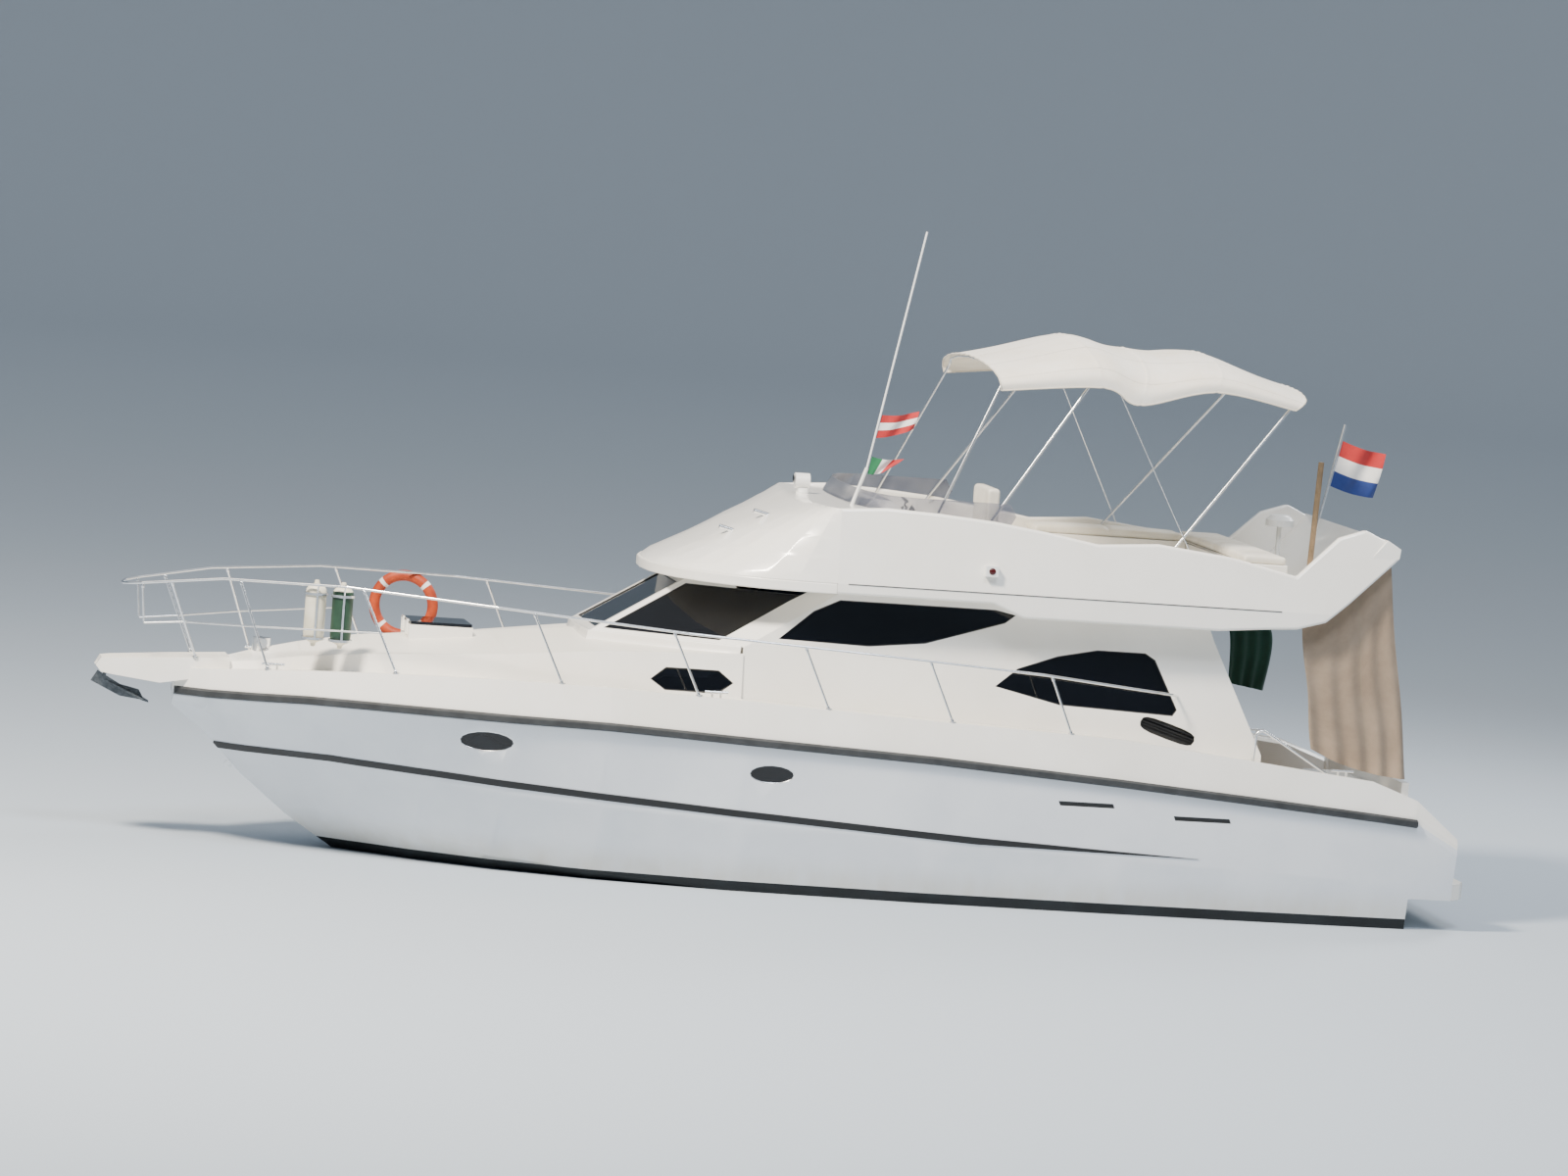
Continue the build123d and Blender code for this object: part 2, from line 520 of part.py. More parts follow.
# aft bulkhead and door
bh = prism_x([(-1.405, SALOON_Z), (1.405, SALOON_Z), (side_y(1.6) - CAB_T - 0.002, 1.6), (side_y(Z_ROOF) - CAB_T - 0.002, Z_ROOF),
              (-(side_y(Z_ROOF) - CAB_T - 0.002), Z_ROOF), (-(side_y(1.6) - CAB_T - 0.002), 1.6)], BH_X, BH_X + 0.05)
DOOR_Y0, DOOR_Y1, DOOR_Z1 = -0.05, 0.70, 2.72
bh = bh.cut(block(BH_X - 1, BH_X + 1, DOOR_Y0, DOOR_Y1, SALOON_Z + 0.01, DOOR_Z1))
bh = bh.cut(block(BH_X - 1, BH_X + 1, -1.20, -0.18, 1.25, 2.60))
door = block(BH_X + 0.005, BH_X + 0.045, DOOR_Y0 + 0.008, DOOR_Y1 - 0.008, SALOON_Z + 0.018, DOOR_Z1 - 0.008)
door = door.cut(block(BH_X - 1, BH_X + 1, DOOR_Y0 + 0.10, DOOR_Y1 - 0.10, 1.10, 2.60))
DX = BH_X - 0.014
for z in (1.25, 2.45):
    f, k = hinge((DX, DOOR_Y1, z - 0.06), (DX, DOOR_Y1, z + 0.06))
    for z0, z1 in ((z - 0.06, z - 0.035), (z + 0.035, z + 0.06)):
        f = join(f, block(DX - 0.010, BH_X + 0.001, DOOR_Y1 - 0.002, DOOR_Y1 + 0.05, z0, z1))
    bh = join(bh, f)
    door = join(door, k, block(DX - 0.008, BH_X + 0.006, DOOR_Y1 - 0.05, DOOR_Y1 - 0.007, z - 0.030, z + 0.030))
save("aft_bulkhead", bh)
save("saloon_door", door)
bulk_pane = block(BH_X + 0.020, BH_X + 0.028, -1.20, -0.18, 1.25, 2.60)
save("door_glass", block(BH_X + 0.020, BH_X + 0.028, DOOR_Y0 + 0.10, DOOR_Y1 - 0.10, 1.10, 2.60))

# ------------------------------------------------------------------ flybridge
FLY_Y = 1.60
FLOOR_Z0, FLOOR_Z1 = Z_ROOF, 2.96
NOSE_X0 = -0.20               # where the nose meets the sides
LIP_X, LIP_OUT = 1.42, 0.08    # foremost point of the brow; how far the sides stand out from the floor
SIDE_TOP, SIDE_LEAN = 3.80, 0.12
DASH_Z, DASH_X = 3.66, -0.50   # shelf behind the nose that carries the screen


def side_out(z):
    """Half breadth of the flybridge sides' outer face."""
    return FLY_Y + LIP_OUT - SIDE_LEAN * max(0.0, z - FLOOR_Z1) / (SIDE_TOP - FLOOR_Z1)


def bow_curve(length, breadth, n=9, power=2.25):
    """Rounded front in plan from the centreline to the sides, as points of a superellipse."""
    out = []
    for k in range(n):
        t = math.pi / 2 * k / (n - 1)
        out.append((NOSE_X0 + length * math.cos(t) ** (2 / power), breadth * math.sin(t) ** (2 / power)))
    out[-1] = (NOSE_X0, breadth)
    return out


lip = bow_curve(LIP_X - NOSE_X0, side_out(FLOOR_Z0))
half = lip + [(NOSE_X0, FLY_Y), (-4.90, FLY_Y)]
plan_pts = half + [(x, -y) for x, y in reversed(half[1:])]
save("flybridge_floor", prism_z(plan_pts, FLOOR_Z0, FLOOR_Z1))

# nose: sloping front of the flybridge, from the brow up to the dash shelf
Nose = namedtuple("Nose", "z length")
NOSE = [Nose(FLOOR_Z1, LIP_X - NOSE_X0 - 0.02), Nose(3.02, LIP_X - NOSE_X0 - 0.10), Nose(3.20, 1.14), Nose(3.38, 0.80), Nose(3.54, 0.46), Nose(3.63, 0.25), Nose(DASH_Z, 0.16)]


def nose_ring(q):
    pts = bow_curve(q.length, side_out(q.z))
    return [(x, y, q.z) for x, y in pts] + [(x, -y, q.z) for x, y in reversed(pts[1:])]


nose = loft_rings([nose_ring(q) for q in NOSE])
shelf_y = side_out(DASH_Z) - LIP_OUT
shelf = prism_z([(NOSE_X0 + 0.001, -shelf_y), (NOSE_X0 + 0.001, shelf_y), (DASH_X - 0.26, shelf_y), (DASH_X - 0.10, shelf_y - 0.24), (DASH_X, 0.95),
                 (DASH_X, -0.95), (DASH_X - 0.10, -shelf_y + 0.24), (DASH_X - 0.26, -shelf_y)], DASH_Z - 0.06, DASH_Z)
nose = join(nose, shelf)
save("flybridge_nose", nose)

TOPLINE = [(NOSE_X0, DASH_Z), (-0.64, 3.69), (-1.15, 3.67), (-1.68, 3.63), (-2.21, 3.56), (-2.69, 3.48), (-3.27, 3.52), (-3.99, 3.44), (-4.63, 3.30)]
side_sec = prism_x([(FLY_Y, 2.70), (FLY_Y + LIP_OUT, 2.74), (FLY_Y + LIP_OUT, FLOOR_Z1), (side_out(SIDE_TOP), SIDE_TOP),
                    (side_out(SIDE_TOP) - LIP_OUT, SIDE_TOP), (FLY_Y, FLOOR_Z1)], -5.70, NOSE_X0)
Coam = namedtuple("Coam", "x z")
COAM = [Coam(*q) for q in TOPLINE]
SIDE_PROF = TOPLINE + [(-5.03, 3.69), (-5.29, 3.78), (-5.64, 3.62), (-5.63, 3.52), (-5.41, 3.31), (-5.16, 3.07),
                       (-4.94, 2.88), (-4.66, 2.80), (-4.35, 2.78), (-3.90, 2.74), (-2.00, 2.74), (-1.70, FLOOR_Z0), (NOSE_X0, FLOOR_Z0)]
side_f = side_sec.intersect(prism_y(SIDE_PROF, 1.0, 2.0))
side_f = max(solids_of(side_f), key=lambda s: s.volume)
save("flybridge_sides", both(side_f))

WING = [(-4.94, 2.88), (-5.16, 3.07), (-5.41, 3.31), (-5.63, 3.52), (-5.64, 3.62), (-5.50, 3.70), (-5.42, 3.60), (-5.25, 3.40), (-5.02, 3.14), (-4.905, 2.98), (-4.905, 2.88)]
stern_f = prism_y(WING, -FLY_Y, FLY_Y)
for other in both(side_f):
    stern_f = stern_f.cut(other)
stern_f = largest(stern_f)
save("flybridge_stern", stern_f)

# low smoked screen round the helm
SC = [(DASH_X + 0.11, 0.0), (DASH_X + 0.10, 0.45), (DASH_X + 0.07, 0.90), (DASH_X + 0.0, 1.22), (DASH_X - 0.10, 1.42), (DASH_X - 0.30, 1.53), (-1.84, 1.54)]
SC_T, SC_TOP, SC_BACK = 0.010, 3.80, 0.11


def screen_line(z, back, squeeze, inset):
    pts = [(x - back - (inset if i < 5 else 0.0), y * squeeze - (inset if i > 3 else 0.0), z) for i, (x, y) in enumerate(SC)]
    return pts[::-1] + [(x, -y, zz) for x, y, zz in pts[1:]]


def screen_wall(z, back, squeeze):
    return screen_line(z, back, squeeze, 0.0) + screen_line(z, back, squeeze, SC_T)[::-1]


screen = loft_rings([screen_wall(3.60, 0.0, 1.0), screen_wall(SC_TOP, SC_BACK, 0.985)])
screen = largest(screen.intersect(prism_y([(0.0, 3.55), (0.0, 4.0), (-1.70, 4.0), (-1.94, 3.60), (-1.94, 3.55)], -2, 2)))
for other in [nose] + both(side_f):
    screen = screen.cut(other)
screen = largest(screen)
save("fly_windscreen", screen)

CON_X = DASH_X - 0.0003        # front of the helm console, against the shelf
console = prism_y([(CON_X, FLOOR_Z1), (CON_X, DASH_Z - 0.02), (CON_X - 0.14, DASH_Z + 0.07), (CON_X - 0.30, DASH_Z + 0.06),
                   (CON_X - 0.50, DASH_Z - 0.14), (CON_X - 0.46, 3.10), (CON_X - 0.38, FLOOR_Z1)], 0.15, 0.94)
WHEEL = (CON_X - 0.575, 0.62, DASH_Z - 0.07)
wheel = Solid.make_torus(0.17 * M, 0.013 * M, Plane(origin=vec(WHEEL), z_dir=Vector(-0.8, 0, 0.6)))
spokes = [rod(WHEEL, (WHEEL[0] + 0.17 * math.cos(a) * 0.6, WHEEL[1] + 0.17 * math.sin(a), WHEEL[2] + 0.17 * math.cos(a) * 0.8), 0.008)
          for a in (math.radians(d) for d in (90, 210, 330))]
save("helm_console", join(console, wheel, rod(WHEEL, (WHEEL[0] + 0.12, WHEEL[1], WHEEL[2] - 0.08), 0.02), *spokes))
seat_base = block(-1.75, -1.30, 0.30, 1.05, FLOOR_Z1, 3.40)
benches = (seat_base,
     block(-4.60, -4.15, -1.38, 1.38, FLOOR_Z1, 3.38),
     block(-4.15, -2.60, -1.38, -0.93, FLOOR_Z1, 3.38))
save("fly_cushions",
     join(block(-1.76, -1.30, 0.30, 1.05, 3.40, 3.50), prism_y([(-1.76, 3.50), (-1.66, 3.50), (-1.74, 3.92), (-1.84, 3.92)], 0.30, 1.05)),
     block(-4.60, -4.15, -1.38, 1.38, 3.38, 3.48),
     block(-4.145, -2.60, -1.38, -0.93, 3.38, 3.48))

# ------------------------------------------------------------------ bimini
Hoop = namedtuple("Hoop", "bow xf zf push")
HOOPS = [Hoop(0, -1.12, 3.67, -0.05), Hoop(1, -1.62, 3.63, 0.0), Hoop(4, -3.42, 3.50, 0.05)]
Bow = namedtuple("Bow", "xh zh xt zt half")
BOWS = [Bow(-1.68, 4.86, -1.62, 5.11, 1.37), Bow(-2.66, 4.95, -2.55, 5.37, 1.38), Bow(-3.03, 4.81, -3.16, 5.28, 1.38),
        Bow(-3.76, 4.98, -3.88, 5.29, 1.38), Bow(-4.55, 4.86, -4.76, 5.03, 1.37)]


def canopy_line(b, off, push=0.0):
    """Half section of the canopy in the leaning plane of its bow."""
    run = math.hypot(b.xt - b.xh, b.zt - b.zh)

    def p(t, y, up):
        t = t + up / run
        return (b.xh + t * (b.xt - b.xh) + push, y, b.zh + t * (b.zt - b.zh))
    return [p(0, b.half - off, 0), p(0.30, b.half - off, 0), p(0.62, b.half - 0.16 - 0.7 * off, -0.5 * off), p(0.88, b.half - 0.60 - 0.2 * off, -0.9 * off), p(1.0, 0.25, -off)]


def whole(line):
    return line + [(x, -y, z) for x, y, z in reversed(line)]


def canopy_ring(b):
    return whole(canopy_line(b, 0.0)) + list(reversed(whole(canopy_line(b, 0.008))))


canopy = loft_rings([canopy_ring(b) for b in BOWS])
save("bimini_canopy", canopy)
HOOP_R = 0.0125
frames = []
for h in HOOPS:
    line = canopy_line(BOWS[h.bow], 0.040, h.push)
    zc = lerp(COAM, h.xf, "z")
    foot_z = zc - 0.06
    foot_y = FLY_Y - (foot_z - 2.96) * 0.12 / 0.84
    hem = (line[1][0], line[1][1] - 0.06, line[1][2])
    path = whole([(h.xf, foot_y, foot_z), hem] + line[2:])
    t = tube(path, HOOP_R, 0.08)
    t = seat_on(t, canopy, (0, 0, 1))
    for sd in both(side_f):
        t = t.cut(sd)
    frames.append(largest(t))
# a strap each side steadies the canopy from its low bow to the coaming
strap_foot = (-3.62, side_out(3.44) - LIP_OUT / 2, 3.40)
strap = trim(rod(strap_foot, (BOWS[1].xh - 0.16, BOWS[1].half - 0.020, BOWS[1].zh - 0.02), 0.006), side_f, canopy)
save("bimini_frame", frames, both(strap))

# ------------------------------------------------------------------ rails
RAIL_R = 0.0125
TOP_RAIL = [(-3.62, 1.40, 2.07), (-3.52, 1.60, 2.10), (-3.30, 1.74, 2.13), (-2.20, 1.88, 2.24), (-0.60, 1.90, 2.33), (1.20, 1.88, 2.42),
            (2.98, 1.62, 2.53), (4.35, 1.12, 2.59), (5.45, 0.58, 2.55), (6.18, 0.28, 2.44), (6.30, 0.18, 2.42), (6.34, 0.06, 2.41)]
Stan = namedtuple("Stan", "xf xt")
STANS = [Stan(5.62, 5.92), Stan(5.00, 5.30), Stan(3.86, 4.20), Stan(2.35, 2.65), Stan(1.07, 1.35), Stan(-0.16, 0.10), Stan(-1.35, -1.10), Stan(-2.50, -2.28)]
POST_R, MID_R, CLEAR = 0.011, 0.009, 0.0002
HAND = [(-4.33, 1.70, 1.50), (-4.35, 1.70, 1.86), (-5.10, 1.74, 1.42)]     # handrail beside the steps at the cockpit


def on_path(path, x):
    for a, b in zip(path, path[1:]):
        if a[0] <= x <= b[0]:
            t = (x - a[0]) / (b[0] - a[0])
            return tuple(u + t * (v - u) for u, v in zip(a, b))
    return path[-1]


def halfway(a, b):
    return tuple((u + v) / 2 for u, v in zip(a, b))


rail_line = TOP_RAIL + [(x, -y, z) for x, y, z in reversed(TOP_RAIL)]
cabins = [cab_port, mirror_y(cab_port)]
decks = [fore, pul] + both(low)
top_rail = [trim(t, *cabins) for t in mitred(rail_line, RAIL_R)]
rail_space = mitred(rail_line, RAIL_R + CLEAR, 0.0)


def near(shape, others, reach=60.0):
    box = shape.bounding_box()
    out = []
    for o in others:
        b = o.bounding_box()
        if all(getattr(box.min, k) - reach < getattr(b.max, k) and getattr(b.min, k) < getattr(box.max, k) + reach for k in "XYZ"):
            out.append(o)
    return out


post_ends = []
for q in STANS:
    head = on_path(sorted(TOP_RAIL), q.xt)
    yf, zf = lerp(STA, q.xf, "yg") - 0.025, lerp(STA, q.xf, "zg")
    if q.xf > 5.4:
        yf, zf = 0.24, 1.745
    post_ends.append(((q.xf - 0.01, yf, zf - 0.03), head))
posts = []
for foot, head in post_ends:
    post = rod(foot, head, POST_R)
    posts.append(trim(post, *near(post, rail_space), *decks, *cabins))
# a lower rail runs between the three foremost posts and closes on the top rail in front
mids = [halfway(*e) for e in post_ends[:3]]
mid_rail = []
for a, b in zip(mids, mids[1:]):
    mid_rail.append(trim(rod(a, b, MID_R), *[rod(*e, POST_R + CLEAR) for e in post_ends[:3]]))
stem_bend = (6.14, 0.27, 2.06)
mid_rail.append(trim(rod(mids[0], stem_bend, MID_R), rod(*post_ends[0], POST_R + CLEAR)))
mid_rail.append(trim(rod((stem_bend[0] + 0.004, stem_bend[1], stem_bend[2] + MID_R + 0.0005), TOP_RAIL[-3], MID_R), mid_rail[-1], *rail_space))
hand = trim(tube(HAND, RAIL_R, 0.06), *both(low), *cabins)
rails = Compound(children=top_rail + solids_of([both(q) for q in posts + mid_rail + [hand]]))
save("bow_rail", solids_of(rails))

# ------------------------------------------------------------------ aerial, lights, flags
AER_Y = 1.0
aerial = trim(join(rod((-0.51, AER_Y, 3.96), (-0.92, AER_Y, 6.29), 0.010), rod((-0.40, AER_Y, DASH_Z - 0.01), (-0.52, AER_Y, 4.02), 0.018)), nose)

# ------------------------------------------------------------------ stern gear
for side, name in ((1, "port"), (-1, "starboard")):
    hub = (PROP_X, side * SHAFT_Y, PROP_Z)
    shaft = rod(along(hub, SHAFT_DIR, -0.10), along(hub, SHAFT_DIR, 2.75), SHAFT_R)
    boss = rod(along(hub, SHAFT_DIR, -0.08), along(hub, SHAFT_DIR, 0.08), 0.045)
    parts = [shaft, boss]
    for k in range(4):
        ang = math.radians(90 * k + 45)
        u = Vector(0, math.cos(ang), math.sin(ang))
        w = Vector(1, 0, 0)
        v = u.cross(w)
        rows = []
        for r, wid, pitch in ((0.035, 0.10, 60), (0.13, 0.19, 38), (0.22, 0.20, 27), (0.265, 0.09, 24)):
            pr = math.radians(90 - pitch) * side
            d = w * math.cos(pr) + v * math.sin(pr)
            n = d.cross(u) * 0.006
            c = Vector(*hub) + u * r
            rows.append([tuple(c + d * (wid / 2) + n), tuple(c - d * (wid / 2) + n), tuple(c - d * (wid / 2) - n), tuple(c + d * (wid / 2) - n)])
        parts.append(loft_rings(rows))
    save("propeller_" + name, join(*parts))
    stock = rod((RUD_X, side * SHAFT_Y, -0.62), (RUD_X, side * SHAFT_Y, -0.20), 0.025)
    bladeprof = [(RUD_X + 0.16, -0.47), (RUD_X + 0.10, -1.02), (RUD_X - 0.26, -1.02), (RUD_X - 0.30, -0.47)]
    rb = prism_y(bladeprof, side * SHAFT_Y - 0.018, side * SHAFT_Y + 0.018)
    save("rudder_" + name, join(stock, rb))

brk = []
for side in (1, -1):
    hub = (PROP_X, side * SHAFT_Y, PROP_Z)
    barrel = rod(along(hub, SHAFT_DIR, 0.12), along(hub, SHAFT_DIR, 0.30), 0.040)
    arm = prism_y([(PROP_X + 0.14, PROP_Z), (PROP_X + 0.28, PROP_Z), (PROP_X + 0.30, -0.30), (PROP_X + 0.14, -0.30)], side * SHAFT_Y - 0.009, side * SHAFT_Y + 0.009)
    b = join(barrel, arm).cut(rod(along(hub, SHAFT_DIR, 0.0), along(hub, SHAFT_DIR, 0.5), SHAFT_R + 0.00005)).cut(bottom)
    brk.append(max(solids_of(b), key=lambda s: s.volume))
save("shaft_brackets", brk)

# ------------------------------------------------------------------ fittings
eye_c = (5.225, 0.0, 0.735)
eye = rod((eye_c[0], -0.006, eye_c[2]), (eye_c[0], 0.006, eye_c[2]), 0.040)
eye = eye.cut(rod((eye_c[0], -0.1, eye_c[2]), (eye_c[0], 0.1, eye_c[2]), 0.015)).cut(hull)
eye = largest(eye)

ring_c = (3.46, -1.56, 2.22)
buoy = (Solid.make_torus(0.29 * M, 0.055 * M, Plane(origin=vec(ring_c), z_dir=Vector(0.32, 0.95, 0))))
buoy = seat_on(buoy, Compound(children=rail_space), (0, 1, 0), 0.15)
fend = []
for k, x in enumerate((4.36, 4.60)):
    fend.append(rod((x, lerp(STA, x, "yg") - 0.27, 1.99), (x, lerp(STA, x, "yg") - 0.27, 2.62), 0.0996))
save("safety_gear", buoy, *fend)
rack = []
for k, x in enumerate((4.36, 4.60)):
    yf = lerp(STA, x, "yg") - 0.27
    top = on_path(sorted(TOP_RAIL), x)
    bars = [rod((x, yf, z - 0.012), (x, yf, z + 0.012), 0.113).cut(rod((x, yf, z - 0.1), (x, yf, z + 0.1), 0.1001)) for z in (2.07, 2.49)]
    bars += [block(x + dx - 0.010, x + dx + 0.010, yf + dy - 0.004, yf + dy + 0.004, 2.06, 2.50) for dx, dy in ((0, 0.107), (0, -0.107))]
    basket = join(*bars)
    arm = rod((x, yf + 0.100, 2.49), top, 0.008)
    rack += [basket, trim(arm, rod((x, yf, 2.3), (x, yf, 2.7), 0.1133), *near(arm, rail_space))]
lamp = trim(join(Solid.make_cylinder(60, 60, Plane(origin=vec((-0.14, -0.2, DASH_Z - 0.005)))), rod((-0.20, -0.2, DASH_Z + 0.12), (-0.06, -0.2, DASH_Z + 0.12), 0.075)), nose, screen)
SCREEN = [(-4.72, 2.88), (-4.94, 2.92), (-5.16, 3.12), (-5.41, 3.36), (-5.58, 3.52), (-5.92, 1.90), (-5.92, 1.20), (-5.13, 1.35)]


def cloth_plate(pts_xz, y_of, thick):
    """Thin cloth plate in a leaning plane."""
    return prism([(x, y_of(z), z) for x, z in pts_xz], (0, -thick, 0))


cloth = cloth_plate(SCREEN, lambda z: 1.56 - (z - 1.45) * 0.045, 0.008)
fly_floor = prism_z(plan_pts, FLOOR_Z0, FLOOR_Z1)
for other in [side_f, low, stern_f, fly_floor]:
    cloth = cloth.cut(other)
spare = prism_y([(-4.60, FLOOR_Z0), (-4.88, FLOOR_Z0), (-5.24, 2.50), (-5.20, 1.90), (-4.82, 1.96), (-4.79, 2.50)], -1.452, -1.446)
save("side_screen", largest(cloth), spare)
staff = rod((-5.33, -0.55, 3.50), (-5.56, -0.55, 4.66), 0.014).cut(stern_f)
ensign = (largest(prism_y([(-5.445, 4.06), (-5.536, 4.52), (-6.00, 4.40), (-5.91, 3.94)], -0.553, -0.547).cut(staff)))
mast = largest(rod((-5.02, 0.55, 3.00), (-5.06, 0.55, 4.34), 0.028).cut(stern_f))
save("stern_poles", mast, staff)
pennants = []
for pts in ([(-0.560, 4.30), (-0.605, 4.54), (-0.99, 4.60), (-0.945, 4.415)], [(-0.50, 3.95), (-0.540, 4.14), (-0.88, 4.135), (-0.70, 4.00)]):
    pennants.append(trim(prism_y(pts, AER_Y - 0.002, AER_Y + 0.002), aerial))
save("flags", ensign, pennants)
dome = join(rod((-5.00, -0.62, 3.00), (-5.00, -0.62, 3.63), 0.025).cut(stern_f), Solid.make_cylinder(140, 60, Plane(origin=vec((-5.00, -0.62, 3.62)))), Solid.make_cone(140, 90, 50, Plane(origin=vec((-5.00, -0.62, 3.68)))))
save("aerials", aerial, dome)
save("benches", *benches, block(TRANSOM_X + TR_T, -5.45, -0.70, 1.40, COCKPIT_Z, 1.24))
save("saloon_furniture", block(-3.0, -0.6, 0.75, 1.36, SALOON_Z, 1.38), block(-2.2, -0.9, -1.36, -0.75, SALOON_Z, 1.38),
     block(0.10, 0.54, -1.30, -0.30, SALOON_Z, 1.95), block(-3.20, -2.30, -1.36, -0.80, SALOON_Z, 1.85))
horns = [join(rod((x, 0.60, z - 0.02), (x + 0.16, 0.60, z + 0.02), 0.022), rod((x, 0.60, z - 0.10), (x, 0.60, z), 0.02)).cut(nose) for x, z in ((0.62, 3.33), (0.30, 3.50))]
lamps = []
for side in (1, -1):
    lamps.append(block(-1.72, -1.60, *sorted((side * 1.575, side * 1.72)), 3.12, 3.22).cut(side_f).cut(mirror_y(side_f)))
save("lamps_and_horns", lamp, *horns, *[largest(q) for q in lamps])
cleats = []
for x, dy in ((4.95, 0.12), (0.9, 0.11), (-5.2, 0.10)):
    for side in (1, -1):
        y = side * (lerp(STA, x, "yg") - dy)
        z = lerp(STA, x, "zg")
        c = join(rod((x - 0.11, y, z + 0.045), (x + 0.11, y, z + 0.045), 0.012), rod((x - 0.04, y, z - 0.09), (x - 0.04, y, z + 0.045), 0.011), rod((x + 0.04, y, z - 0.09), (x + 0.04, y, z + 0.045), 0.011))
        for other in [fore, low, mirror_y(low), pul]:
            c = c.cut(other)
        cleats.append(max(solids_of(c), key=lambda w: w.volume))
WIND_X = 4.99
windlass = trim(join(Solid.make_cylinder(85, 190, Plane(origin=vec((WIND_X, 0, 1.775)))), rod((WIND_X, -0.15, 1.92), (WIND_X, 0.13, 1.92), 0.045)), fore)
save("deck_hardware", eye, *cleats, *rack, windlass)
save("glazing", *panes, *screen_panes, bulk_pane, *trunk_panes, *[both(q) for q in ports])
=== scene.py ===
"""Looks for the flybridge motor yacht, in metres: +X bow, +Y port, +Z up, origin at the waterline amidships."""

import json
import math

import bmesh
import bpy
from mathutils import Matrix, Quaternion, Vector
from mathutils.bvhtree import BVHTree


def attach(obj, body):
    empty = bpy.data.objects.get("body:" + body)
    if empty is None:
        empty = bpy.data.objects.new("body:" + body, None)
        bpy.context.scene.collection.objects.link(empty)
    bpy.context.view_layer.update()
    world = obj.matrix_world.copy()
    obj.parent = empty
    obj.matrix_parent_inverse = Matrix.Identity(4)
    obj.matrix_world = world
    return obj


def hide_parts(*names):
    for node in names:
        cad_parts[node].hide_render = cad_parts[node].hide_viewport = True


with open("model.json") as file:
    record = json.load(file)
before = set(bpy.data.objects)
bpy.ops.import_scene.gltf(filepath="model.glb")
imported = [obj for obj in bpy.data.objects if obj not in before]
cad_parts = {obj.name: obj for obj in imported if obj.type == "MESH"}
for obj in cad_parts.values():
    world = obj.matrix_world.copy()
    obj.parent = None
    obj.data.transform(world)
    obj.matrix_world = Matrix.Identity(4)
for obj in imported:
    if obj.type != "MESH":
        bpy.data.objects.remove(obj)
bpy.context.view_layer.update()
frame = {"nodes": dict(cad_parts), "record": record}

BODY_OF = {node: body for body, nodes in frame["record"]["behaviour"]["bodies"].items() for node in nodes}


# ---------------------------------------------------------------- colour and shader helpers
def linear(code):
    """sRGB hex to the linear RGBA that a shader takes."""
    parts = [int(code[i:i + 2], 16) / 255 for i in (1, 3, 5)]
    return [c / 12.92 if c <= 0.04045 else ((c + 0.055) / 1.055) ** 2.4 for c in parts] + [1.0]


def add(tree, kind, values=None, links=None, **settings):
    """One node: its settings, its socket values, and the outputs linked to its sockets."""
    n = tree.nodes.new(kind)
    for key, value in settings.items():
        setattr(n, key, value)
    for key, value in (values or {}).items():
        n.inputs[key].default_value = value
    for key, output in (links or {}).items():
        tree.links.new(output, n.inputs[key])
    return n


def blank(name, **sockets):
    """New material with its shader's plain sockets set."""
    mat = bpy.data.materials.new(name)
    mat.use_nodes = True
    tree = mat.node_tree
    shader = tree.nodes["Principled BSDF"]
    for key, value in sockets.items():
        shader.inputs[key.replace("_", " ")].default_value = value
    return mat, tree, shader


def place(tree):
    """The boat's own coordinates."""
    return add(tree, "ShaderNodeTexCoord").outputs["Object"]


def part_of(tree, vector, axis):
    """One coordinate of a vector."""
    return add(tree, "ShaderNodeSeparateXYZ", links={"Vector": vector}).outputs[axis]


def mapped(tree, at, **sockets):
    """A place stretched or turned."""
    return add(tree, "ShaderNodeMapping", sockets, {"Vector": at}).outputs["Vector"]


def noise(tree, at, **sockets):
    """Soft noise over a place."""
    return add(tree, "ShaderNodeTexNoise", sockets, {"Vector": at}).outputs["Fac"]


def maths(tree, operation, a, b=None):
    """Maths node on outputs or floats."""
    n = add(tree, "ShaderNodeMath", operation=operation)
    for socket, value in zip(n.inputs, (a, b)):
        if isinstance(value, float):
            socket.default_value = value
        elif value is not None:
            tree.links.new(value, socket)
    return n.outputs[0]


def ranged(tree, value, low, high, first=0.0, last=1.0, **settings):
    """Value carried from low..high to first..last and held beyond them."""
    limits = {"From Min": low, "From Max": high, "To Min": first, "To Max": last}
    return add(tree, "ShaderNodeMapRange", limits, {"Value": value}, **settings).outputs["Result"]


def stops(tree, factor, *pairs):
    """Colour ramp through (position, hex) pairs."""
    ramp = add(tree, "ShaderNodeValToRGB", links={"Fac": factor})
    marks = ramp.color_ramp.elements
    while len(marks) < len(pairs):
        marks.new(0.5)
    for mark, (at, code) in zip(marks, pairs):
        mark.position = at
        mark.color = linear(code)
    return ramp.outputs["Color"]


def mixed(tree, share, under, code):
    """A colour under a second one, given as hex, laid over it by a share."""
    both = add(tree, "ShaderNodeMix", {"B": linear(code)}, {"Factor": share, "A": under}, data_type="RGBA")
    return both.outputs["Result"]


def seams(tree, along, spacing, share):
    """Place within each strip, 0 to 1, and 1 where its seam lies, which takes a share of the strip."""
    part = maths(tree, "FRACT", maths(tree, "MULTIPLY", along, 1 / spacing))
    return part, maths(tree, "LESS_THAN", part, share)


def paint(tree, shader, colour):
    tree.links.new(colour, shader.inputs["Base Color"])


